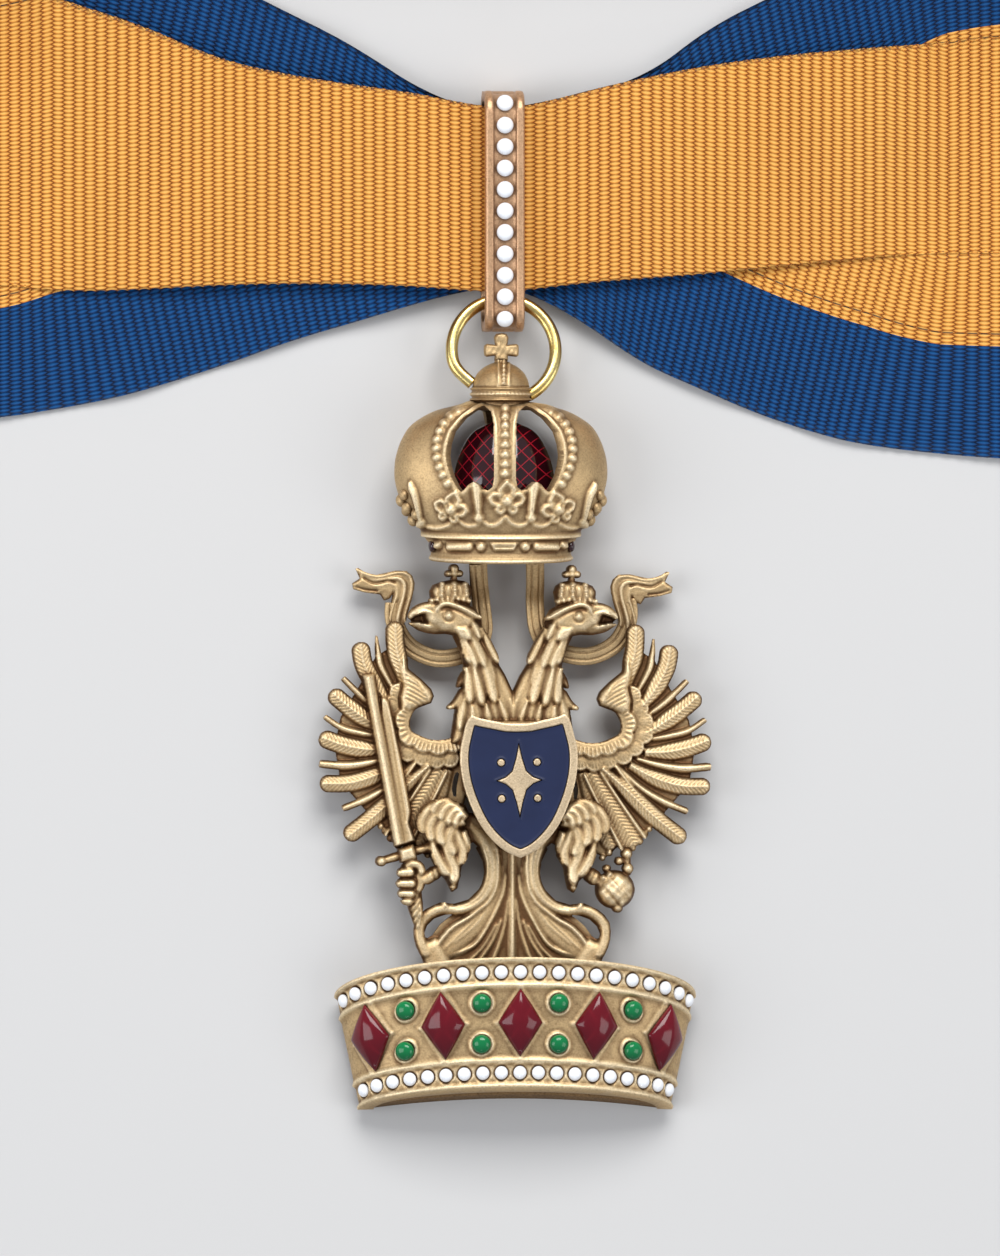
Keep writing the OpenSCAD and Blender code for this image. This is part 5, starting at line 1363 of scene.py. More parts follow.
def make_strap(side, name, node):
    """Strap with three rounded cords along it; its end is drawn as a folded swallow-tail."""
    pts = []
    for i, (px, py, pz) in enumerate(STRAP_ROUTE):
        lean = -1.9 * max(0, py - 17) / 23 * (1 if px > -12 else 0.4)
        pts.append([(side * px + lean) * PCT, (CROWN_FOOT - EAGLE_Y - 0.15) if i == 0 else py * PCT, pz])
    line = turn_with_eagle(curve(pts, 120))
    u = np.linspace(-1, 1, 25)
    top = 0.26 + 0.2 * np.sqrt(1 - 0.9 * u ** 2) - 0.13 * np.exp(-((np.abs(u) - 0.42) / 0.09) ** 2)
    outline = [(0.86 * x, z) for x, z in zip(u, top)]
    outline += [(0.86, -0.35), (0.78, -0.44), (-0.78, -0.44), (-0.86, -0.35)]
    ride(swept_piece(name, line, outline[::-1], CAST_GILT), node)
    # folded end, drawn for the left side; it starts where the bar ends
    R = Relief(344, 424, 560, 628, 0.7) if side > 0 else Relief(602, 682, 563, 631, 0.7, 512.7, -3.6)
    rod(R, [(396.5, 626, 8.6), (397.6, 617, 8.8), (399.8, 606, 9.4), (402.6, 594, 9.8), (404, 583, 9.8)], 0.5,
        flat=0.75, blunt=False)
    plate(R, [(355.3, 568.7), (358, 568), (363, 571.4), (369, 573.6), (376, 574.9), (385, 573),
              (395.4, 570.6), (406.3, 571), (412, 576), (414.4, 583), (413.6, 590), (410, 600), (394, 602),
              (393.3, 592.5), (388.9, 599), (384, 600.6), (380, 594.5), (365, 592.6), (353.1, 589.3),
              (352, 583.4), (359.7, 578.4)], 0.8, 3.5)
    rod(R, [(356, 569.6, 1.0), (364, 573.6, 1.5), (376, 576.8, 1.6), (386, 575.4, 1.7), (397, 572.8, 1.8),
            (407, 574.4, 1.9), (411.8, 582, 1.9), (410.6, 594, 1.8), (407, 606, 1.7), (404.6, 616, 1.6),
            (404.4, 626, 1.4)], 0.72, blunt=False, solid=False)
    rod(R, [(360.6, 580, 1.0), (370, 584.6, 1.3), (380, 586, 1.4), (389, 583.6, 1.5), (395.5, 586.5, 1.6),
            (396.6, 594, 1.6), (393, 606, 1.5), (390.5, 616, 1.5),
            (390, 626, 1.3)], 0.7, blunt=False, solid=False)
    rod(R, [(372, 580.6, 0.9), (386, 579.6, 1.8), (398, 578.4, 2.6), (404, 584, 2.8), (403.6, 594, 2.6),
            (400.4, 606, 2.6), (397.6, 617, 2.6), (397, 626, 2.4)], 0.74, blunt=False, solid=False)
    score(R, [(354, 586.5), (365, 589.6), (378, 591)], 0.25, 1.3)
    score(R, [(362, 577), (374, 583), (388, 580.4), (396, 582.6)], 0.22, 1.2)
    # painted shade: the turned-under lower part of the folded end is darkened
    R.darken([(352, 584), (362, 579), (380, 588), (392, 590), (388.9, 599), (384, 600.6), (365, 592)], 0.2, 2)
    tail = relief_mesh(R, name + "_end", GILT, top_z=1.7, lean_z=2.3)
    ride(tail, node)


make_strap(1, "strap_bar_left", "strap_left")
make_strap(-1, "strap_bar_right", "strap_right")


# Curved skins
class Skin(Relief):
    """Raised shapes on a curved surface given by pos(u, v); drawn in the picture's units."""

    def __init__(self, pos, us, vs, wrap=False):
        self.pos, self.wrap = pos, wrap
        self.U, self.V = np.meshgrid(us, vs, indexing="ij")
        self.us, self.vs = us, vs
        p = pos(self.U, self.V)
        self.px = ZERO_COL + (p[..., 0] + LEAN * p[..., 2]) / UNIT
        self.py = ZERO_ROW - p[..., 1] / UNIT
        self.turn = False
        self.h = np.zeros(self.U.shape)
        self.d = np.full(self.U.shape, 50.0)
        self.tone = np.zeros(self.U.shape)

    def put(self, win, d, h, solid=True):
        cur = self.h[win]
        self.h[win] = np.where(d > -1.1, np.maximum(cur, h), cur)

    def build(self, name, mat, wall=1.0, inner=None, wear_and_shade_gain=3.4):
        us, vs = self.us, self.vs
        n, m = self.U.shape
        gi, gj = np.gradient(self.d)
        far = np.abs(self.d) / np.sqrt(np.maximum(gi ** 2 + gj ** 2, 1e-4))
        ok = (self.d > 0) | (far < 0.5)
        if self.wrap:
            cell = ok[:, :-1] & np.roll(ok, -1, 0)[:, :-1] & ok[:, 1:] & np.roll(ok, -1, 0)[:, 1:]
            mi, mj = 0, 0
        else:
            cell = ok[:-1, :-1] & ok[1:, :-1] & ok[1:, 1:] & ok[:-1, 1:]
            mi, mj = to_outline(self.d, rim_points(cell) & (self.d < 20))
        ii, jj = np.meshgrid(np.arange(n), np.arange(m), indexing="ij")
        ui, vi = ii + mi, jj + mj
        U = np.interp(ui, np.arange(n), us)
        V = np.interp(vi, np.arange(m), vs)
        P = self.pos(U, V)
        e = 1e-3
        du = self.pos(U + e, V) - self.pos(U - e, V)
        dv = self.pos(U, V + e) - self.pos(U, V - e)
        N = np.cross(du, dv)
        N /= np.maximum(1e-12, np.linalg.norm(N, axis=-1))[..., None]
        if self.turn:
            N = -N
        h = blur(self.h, 1)
        fine = h - blur(blur(h, 3), 3)
        wide = h - blur(blur(h, 8), 8)
        # wear and painted shade: hollows darker, raised parts lighter
        wear_and_shade = np.clip(0.5 + wear_and_shade_gain * fine + 0.7 * wide + self.tone, 0, 1)
        out = P + N * h[..., None]
        I, J = np.nonzero(cell)
        I2 = (I + 1) % n
        used = np.zeros(ok.shape, bool)
        for a, b in ((I, J), (I2, J), (I2, J + 1), (I, J + 1)):
            used[a, b] = True
        num = np.full(ok.shape, -1)
        count = int(used.sum())
        num[used] = np.arange(count)
        quads = np.stack([num[I, J], num[I2, J], num[I2, J + 1], num[I, J + 1]], 1)
        inn = (P - N * wall) if inner is None else inner(U, V)
        verts = np.concatenate([out[used], inn[used]])
        # painted shade: the inner side is darker
        wear_and_shades = np.concatenate([wear_and_shade[used], np.full(count, 0.3)])
        rim = border_edges(quads, count)
        walls = np.stack([rim[:, 1], rim[:, 0], rim[:, 0] + count, rim[:, 1] + count], 1)
        faces = np.concatenate([quads, quads[:, ::-1] + count, walls])
        obj = make_mesh(name, verts, faces, mat, attrs={"wear_and_shade": wear_and_shades})
        bm = bmesh.new()
        bm.from_mesh(obj.data)
        bmesh.ops.recalc_face_normals(bm, faces=bm.faces)
        mark_sharp(bm, 0.9)
        bm.to_mesh(obj.data)
        bm.free()
        return obj


def ring_line(R, pts, high, width):
    """Raised fine line along points."""
    line = curve(pts, max(24, 3 * len(pts)))
    win = R.window(line, 4)
    if win is None:
        return
    s, t, length = along_curve(R.px[win], R.py[win], line)
    t = np.where((s < 0) | (s > length), 9, t)
    R.h[win] = np.maximum(R.h[win], high * np.exp(-(t / width) ** 2))


def boss(R, c, r, high, groove=0.1):
    """Round bead seated in a small ring-shaped hollow."""
    win = R.window([c], r + 3)
    if win is None:
        return
    rho = np.hypot(R.px[win] - c[0], R.py[win] - c[1])
    R.h[win] = R.h[win] - groove * np.exp(-((rho - r - 0.6) / 0.7) ** 2)
    bead = high * np.sqrt(np.clip(1 - (rho / r) ** 2, 0, 1))
    R.h[win] = np.where(rho < r, np.maximum(R.h[win], bead), R.h[win])


# Imperial crown
CROWN_ROWS = np.array([
    [0.00, 0.25, 0.27], [0.008, 0.29, 0.40], [0.02, 0.37, 0.53], [0.04, 0.55, 0.67], [0.08, 0.70, 0.78],
    [0.15, 0.85, 0.88], [0.24, 0.935, 0.95], [0.34, 0.985, 0.99], [0.42, 1.00, 1.00], [0.50, 0.995, 0.99],
    [0.60, 0.955, 0.96], [0.70, 0.88, 0.905], [0.78, 0.79, 0.845], [0.815, 0.75, 0.81], [0.85, 0.715, 0.79],
    [0.88, 0.685, 0.765], [0.92, 0.66, 0.74], [0.96, 0.65, 0.73], [1.00, 0.645, 0.725]])
CROWN_LINE = curve(CROWN_ROWS, 200)


def crown_pos(t, s):
    a = np.interp(s, CROWN_LINE[:, 0], CROWN_LINE[:, 1]) * CROWN_W / 2
    b = np.interp(s, CROWN_LINE[:, 0], CROWN_LINE[:, 2]) * CROWN_D / 2
    x = CROWN_X + a * np.cos(t)
    z = CROWN_Z + b * np.sin(t)
    y = CROWN_TOP - s * CROWN_H - 0.42 * np.sin(t) * smoothstep(0.45, 0.85, s)
    return np.stack([x, y, z], -1)


WINDOW_LEFT = [(484, 406.5), (478, 408.5), (463, 418.5), (451.5, 432), (447.3, 445), (446, 456), (447.5, 466),
               (451, 477), (456.5, 487), (461, 492.6), (464.5, 490), (469, 484.5), (474, 482), (479, 485.5),
               (483, 489.5), (488, 491), (492.5, 487.5), (494, 478), (494, 455), (493.5, 425), (491, 412.5)]
ARCH_X = 505.2


def draw_crown(R):
    right = [(2 * ARCH_X - 0.6 - x, y) for x, y in WINDOW_LEFT]
    for poly in (WINDOW_LEFT, right):
        win = R.window(poly, 9)
        d = -poly_distance(R.px[win], R.py[win], poly)
        R.h[win] = R.h[win] + 0.2 * np.exp(-((d - 2.0) / 1.3) ** 2) + 0.05 * np.exp(-((d - 5) / 3) ** 2)
        R.d[win] = np.minimum(R.d[win], d)
    for y in (409, 417, 425.7, 435, 445, 455, 464.7, 474):
        boss(R, (ARCH_X, y), 4.6, 0.34)
    lobe = [(472.5, 402.5), (464.5, 406.5), (457.6, 411.3), (450.2, 416.4), (443.8, 423.8), (439.5, 431.6),
            (436.9, 440), (436.1, 448.8), (436.6, 458), (439, 467.4), (442.5, 475.6), (447, 483.9)]
    for x, y in lobe:
        boss(R, (x, y), 4.4, 0.34)
        boss(R, (2 * ARCH_X - 1.2 - x, y + 0.6), 4.4, 0.34)
    # scalloped line over the circlet
    arcs = [(421, 524), (430, 527.5), (439, 528.5), (449, 525.5), (457, 519.5), (463, 524.5), (470, 526.8),
            (478, 524.5), (482, 521.5), (488, 525.5), (494, 526), (500.5, 522.5), (505.2, 517), (510, 522.5),
            (517, 526), (524, 525.5), (529.5, 521.5), (534, 524.5), (541, 526.8), (548, 524.5), (554, 519.5),
            (562, 525.5), (572, 528.5), (580, 526)]
    ring_line(R, arcs, 0.24, 1.5)
    # spikes with a ball at the foot
    for x0, y0, x1, y1, r in ((475, 478, 478.3, 514, 4.7), (535.8, 478, 531, 514, 4.7),
                              (410.5, 482, 421, 519, 3.3), (594.5, 483, 583, 519, 3.3)):
        xm, ym = (x0 + x1) / 2, (y0 + y1) / 2 - 6
        pts = [(x0, y0, 1.2), (x0 * 0.8 + x1 * 0.2, y0 + 7, r), (xm, ym + 2, r * 0.95), (x1, y1, r * 0.55)]
        line = curve(pts, 20)
        win = R.window(line[:, :2], r + 3)
        s, t, length = along_curve(R.px[win], R.py[win], line)
        w = np.interp(s / length, np.linspace(0, 1, len(line)), line[:, 2])
        inside = np.clip(1 - (t / np.maximum(w, 0.5)) ** 2, 0, 1) * (s > -1) * (s < length + 1)
        R.h[win] = np.maximum(R.h[win], 0.48 * np.sqrt(inside) * (inside > 0))
        boss(R, (x1 + 0.3, y1 + 4.0), 4.9 if r > 3 else 3.9, 0.5)
    # flowers: a boss inside outlined petals, a diamond above and two small hearts below
    top = [(0, -21.5), (5.5, -16), (10, -11), (6.5, -5.5), (0, -2), (-6.5, -5.5), (-9.5, -11), (-5, -16)]
    wing = [(-19.5, -3.5), (-14.5, -8), (-8.5, -8.6), (-4, -4), (-3, 2.5), (-8.5, 6.6), (-15, 5), (-18, 0.5)]
    heart = [(-9.5, 5), (-3.5, 3), (-0.4, 6), (-0.4, 9.5), (-5, 14.5), (-10, 12.5), (-12, 8.5)]
    for cx, cy, turn, k in ((506.8, 501, 0, 1.0), (450.5, 509.5, 14, 0.94), (558.5, 509.5, -14, 0.94)):
        c, q = math.cos(math.radians(turn)), math.sin(math.radians(turn))
        for poly in (top, wing, [(-x, y) for x, y in wing], heart, [(-x, y) for x, y in heart]):
            pts = [(cx + k * (x * c - y * q), cy + k * (x * q + y * c)) for x, y in poly]
            win = R.window(pts, 4)
            d = poly_distance(R.px[win], R.py[win], pts)
            petal = (0.1 + 0.3 * np.exp(-((d - 1.7) / 1.2) ** 2)) * smoothstep(-0.9, 0.9, d)
            R.h[win] = np.maximum(R.h[win] - 0.05 * np.exp(-((d + 1.2) / 0.9) ** 2), petal)
        boss(R, (cx + 0.3, cy + 0.2), 5.6 * k, 0.62)
    # circlet: two round ridges and the ornaments between them
    s = R.V
    for centre, half, high in ((0.835, 0.013, 0.33), (0.868, 0.008, 0.12), (0.985, 0.016, 0.36),
                               (0.957, 0.008, 0.12)):
        R.h = np.maximum(R.h, high * np.sqrt(np.clip(1 - ((s - centre) / half) ** 2, 0, 1)))
    y0 = 546.8
    plaque = [(490.5, y0 - 4), (517.5, y0 - 4), (514, y0 + 4), (494, y0 + 4)]
    win = R.window(plaque, 4)
    d = poly_distance(R.px[win], R.py[win], plaque)
    R.h[win] = np.maximum(R.h[win], np.where(d > 0, 0.16 + 0.16 * np.exp(-((d - 0.9) / 0.8) ** 2), 0))
    R.h[win] = R.h[win] - 0.07 * np.exp(-((d + 1.0) / 0.8) ** 2)
    for x0, x1 in ((450, 469), (537, 556)):
        line = np.array([(x0, y0), (x1, y0)], float)
        win = R.window(line, 8)
        s_, t_, l_ = along_curve(R.px[win], R.py[win], line)
        dist = np.hypot(np.maximum(np.maximum(-s_, s_ - l_), 0), t_)
        R.h[win] = np.maximum(R.h[win], 0.36 * np.sqrt(np.clip(1 - (dist / 4.1) ** 2, 0, 1)))
        R.h[win] = R.h[win] - 0.07 * np.exp(-((dist - 5.2) / 0.8) ** 2)
    for x, y, r in ((480.8, y0, 4.9), (525.4, y0, 4.9), (438.2, y0 - 1.8, 4.0), (563.4, y0 - 1.8, 4.0)):
        boss(R, (x, y), r, 0.45, 0.1)


def make_crown():
    fine = 1
    us = np.linspace(0, math.pi, 240 // fine)
    vs = np.linspace(0, 1, 142 // fine)
    R = Skin(crown_pos, us, vs)
    draw_crown(R)

    def inner(U, V):
        a = np.interp(V, CROWN_LINE[:, 0], CROWN_LINE[:, 1]) * CROWN_W / 2 - 0.9
        b = np.interp(V, CROWN_LINE[:, 0], CROWN_LINE[:, 2]) * CROWN_D / 2 - 0.9
        y = CROWN_TOP - np.clip(V, 0.05, 1) * CROWN_H - 0.42 * np.sin(U) * smoothstep(0.45, 0.85, V)
        return np.stack([CROWN_X + a * np.cos(U), y, CROWN_Z + b * np.sin(U)], -1)

    front = R.build("crown_shell_front", GILT, inner=inner)
    ride(front, "imperial_crown")
    B = Skin(crown_pos, np.linspace(math.pi, 2 * math.pi, 120 // fine), np.linspace(0, 1, 80 // fine))
    for sx in (1, -1):
        poly = [(499.5 + sx * (1.12 * (x - ARCH_X) - 1), y - 1) for x, y in WINDOW_LEFT]
        win = B.window(poly, 9)
        B.d[win] = np.minimum(B.d[win], -poly_distance(B.px[win], B.py[win], poly))
    back = B.build("crown_shell_back", GILT, inner=inner)
    ride(back, "imperial_crown")
    # floor inside the circlet
    n = 48
    t = np.linspace(0, 2 * math.pi, n, endpoint=False)
    hub = np.array([CROWN_X, 0, CROWN_Z])
    rings = [(crown_pos(t, np.full(n, s)) - hub) * [0.9, 1, 0.88] + hub for s in (0.915, 0.985)]
    hubs = [[CROWN_X, ring[:, 1].mean(), CROWN_Z] for ring in rings]
    f = [[i, (i + 1) % n, n + (i + 1) % n, n + i] for i in range(n)]
    f += [[2 * n, (i + 1) % n, i] for i in range(n)]
    f += [[2 * n + 1, n + i, n + (i + 1) % n] for i in range(n)]
    inside = make_mesh("crown_floor", np.concatenate(rings + [hubs]), f, CAST_GILT)
    ride(recalc(inside), "imperial_crown")
    # neck and dome of the orb, turned about the crown's upright
    profile = np.array([(2.7, -0.15), (2.66, 0.2), (2.72, 0.38), (2.96, 0.5), (3.04, 0.6), (2.96, 0.72),
                        (2.82, 0.8), (2.82, 1.45), (2.92, 1.54), (2.98, 1.64), (2.9, 1.74), (2.76, 1.8),
                        (2.72, 2.1), (2.58, 2.6), (2.32, 3.1), (1.95, 3.5), (1.48, 3.85), (1.0, 4.08),
                        (0.68, 4.2), (0.6, 4.45)])
    prof = curve(profile, 260)
    par = np.linspace(0, 1, len(prof))

    def dome_pos(u, v):
        r = np.interp(v, par, prof[:, 0])
        y = np.interp(v, par, prof[:, 1])
        return np.stack([CROWN_X + r * np.cos(u), CROWN_TOP - 0.35 + y, CROWN_Z + r * np.sin(u)], -1)

    D = Skin(dome_pos, np.linspace(0, 2 * math.pi, 180 // fine, endpoint=False),
             np.linspace(0, 1, 80 // fine), wrap=True)
    # small beads round the foot of the dome
    yy = np.interp(D.V, par, prof[:, 1])
    count = 44
    along = (D.U * count / (2 * math.pi)) % 1 - 0.5
    rho = np.hypot(along * 2 * math.pi * 2.86 / count, yy - 1.13)
    D.h = np.maximum(D.h, 0.26 * np.sqrt(np.clip(1 - (rho / 0.2) ** 2, 0, 1)))
    # upright band of beads between two lines
    x_mid = 503.8
    off = D.px - x_mid
    front = (np.sin(D.U) > 0) & (yy > 1.86)
    for e in (-5.2, 5.2):
        D.h = np.maximum(D.h, np.where(front, 0.16 * np.exp(-((off - e) / 1.1) ** 2), 0))
    for k in range(7):
        c = (x_mid, 383.5 - 4.1 * k)
        rho = np.hypot(D.px - c[0], D.py - c[1])
        D.h = np.maximum(D.h, np.where(front, 0.3 * np.sqrt(np.clip(1 - (rho / 2.0) ** 2, 0, 1)), 0))
    D.turn = True
    orb = D.build("crown_orb", GILT, wall=0.4)
    ride(orb, "imperial_crown")
    # cross with flared ends
    R = Relief(480, 522, 330, 362, 0.6)
    plate(R, [(495, 361), (495.6, 352), (495.6, 345), (494.6, 337.5), (496.5, 334.2), (501.5, 333.2),
              (506.5, 334.2), (508.6, 337.5), (507.6, 345), (507.6, 352), (508.2, 361)], 1.25, 2.2)
    plate(R, [(484.8, 346), (487, 344.2), (495, 345), (508, 345), (516.5, 344.2), (518.8, 346), (519, 351),
              (518.6, 355.6), (516.5, 357), (508, 356), (495, 356), (487, 357), (485, 355.6), (484.4, 351)],
          1.25, 2.2)
    R.add((slice(None), slice(None)), 0.035 * np.cos(R.px * 0.7) * np.cos(R.py * 0.63 + 0.4 * R.px))
    ride(relief_mesh(R, "crown_cross", CAST_GILT, top_z=4.35, lean_z=5.4), "imperial_crown")
    # petals and bosses that stand out at the sides
    p = Parts()
    for side in (-1, 1):
        for ang, s, r in ((8, 0.62, 0.62), (-6, 0.69, 0.5), (10, 0.74, 0.62), (18, 0.585, 0.5),
                          (24, 0.70, 0.55), (14, 0.665, 0.62)):
            t = math.radians(ang if side > 0 else 180 - ang)
            q = crown_pos(np.array(t), np.array(s))
            p.add(*ball(q, (r, r * 1.1, r), seg=16, rings=10))
    ride(p.mesh("crown_side_flowers", CAST_GILT), "imperial_crown")
    p = Parts()
    for side in (-1, 1):
        t = math.radians(14 if side > 0 else 166)
        q = crown_pos(np.array(t), np.array(0.905))
        p.add(*ball(q, (0.42, 0.62, 0.62), seg=16, rings=10))
    ride(p.mesh("circlet_side_stones", CAP_RED), "imperial_crown")


make_crown()


CAP_PITCH = 1.5
CAP_SHIFT = 0.3


def make_cap():
    """Egg-shaped cap; its lattice follows its own turns and height."""
    foot = CROWN_TOP - 0.905 * CROWN_H + 0.1
    h = 0.80 * CROWN_H - 0.1
    rows = np.array([[0, 0.84], [0.2, 0.94], [0.4, 1], [0.6, 0.95], [0.78, 0.80], [0.91, 0.56], [1, 0.1]])
    line = curve(rows, 60)
    half_w, half_d = 0.485 * CROWN_W / 2, CROWN_D / 2 - 1.0 - 0.9
    seg = 72
    t = np.linspace(0, 2 * math.pi, seg, endpoint=False)
    pts, uv = [], []
    for v, w in line:
        pts.append(np.stack([CROWN_X + CAP_SHIFT + w * half_w * np.cos(t), np.full(seg, foot + v * h),
                             CROWN_Z + w * half_d * np.sin(t)], 1))
        x = half_w * np.cos(t) * w
        z = half_d * np.sin(t) * w
        uv.append(np.stack([(x + 0.3 * z) / CAP_PITCH, np.full(seg, v * h / CAP_PITCH)], 1))
    obj = make_mesh("cap_enamel", np.concatenate(pts), tube_faces(len(line), seg), CAP_RED,
                    uv=np.concatenate(uv))
    ride(recalc(obj), "crown_cap")


make_cap()

# Base crown
FOOT_Z = 1.5
UPPER_SLOPE, LOWER_SLOPE = 0.54, 0.37
BASE_WALL = 1.3
BEAD_BAND = 2.8 / 12.3
LOZENGE_PITCH, LOZENGE_W, LOZENGE_H = 7.45, 4.3, 6.6
GREEN_D, GREEN_ROWS = 1.84, (0.345, 0.66)
FIELD_OUT = 0.06
BACK_ARCH = 1.0
# Rows of white beads: name, CAD node, how many, pitch, place from the upper rim to the lower one
BEAD_ROWS = (("upper_pearls", "upper_beads", 21, 1.87, BEAD_BAND / 2),
             ("lower_pearls", "lower_beads", 19, 1.8, 1 - BEAD_BAND / 2))


def base_point(a, v, out):
    """Point on the band: a in radians from the right end, v from the upper rim to the lower one."""
    half = (BASE_W * (1 - v) + BASE_LOW_W * v) / 2
    deep = (BASE_D - FOOT_Z) * (1 - v + v * BASE_LOW_W / BASE_W)
    x = (half + out) * np.cos(a)
    z = FOOT_Z + (deep + out) * np.sin(a)
    upper = BASE_TOP - UPPER_SLOPE * (BASE_D - z)
    lower = BASE_TOP - BASE_H - LOWER_SLOPE * (BASE_D - z)
    return np.stack([BASE_X + x, upper * (1 - v) + lower * v, z], -1)


ARC_A = np.linspace(math.pi, 0, 721)


def arc_places(v):
    """Length along the band from its middle, for the angles in ARC_A."""
    p = base_point(ARC_A, np.full(ARC_A.shape, v), 0.0)
    s = np.concatenate([[0], np.cumsum(np.linalg.norm(np.diff(p, axis=0), axis=1))])
    return s - s[len(ARC_A) // 2]


ARC_ROWS = [arc_places(v) for v in np.linspace(0, 1, 9)]


def on_band(s, v, out=0.0):
    """Place and axes (right, up, outwards) at a length along the band."""
    a = float(np.interp(s, arc_places(v), ARC_A))
    p = base_point(np.array(a), np.array(v), out)
    up = base_point(np.array(a), np.array(v - 0.01), 0.0) - base_point(np.array(a), np.array(v + 0.01), 0.0)
    right = (base_point(np.array(a - 0.01), np.array(v), 0.0)
             - base_point(np.array(a + 0.01), np.array(v), 0.0))
    up /= np.linalg.norm(up)
    z = np.cross(right, up)
    z /= np.linalg.norm(z)
    x = np.cross(up, z)
    return p, np.array([x, up, z])


def band_profile(v):
    """How far the band stands out, from its upper rim to its lower one."""
    r = 0.035
    out = np.where((v > BEAD_BAND) & (v < 1 - BEAD_BAND), FIELD_OUT, 0.0)
    for c, half, high in ((r / 2, r / 2 + 0.002, 0.3), (BEAD_BAND - r / 2, r / 2 + 0.002, 0.3),
                          (1 - BEAD_BAND + r / 2, r / 2 + 0.002, 0.3), (1 - r / 2, r / 2 + 0.002, 0.3),
                          (BEAD_BAND + 0.012, 0.008, 0.14), (1 - BEAD_BAND - 0.012, 0.008, 0.14)):
        out = np.maximum(out, high * np.clip(1 - ((v - c) / half) ** 2, 0, 1) ** 0.3)
    return out


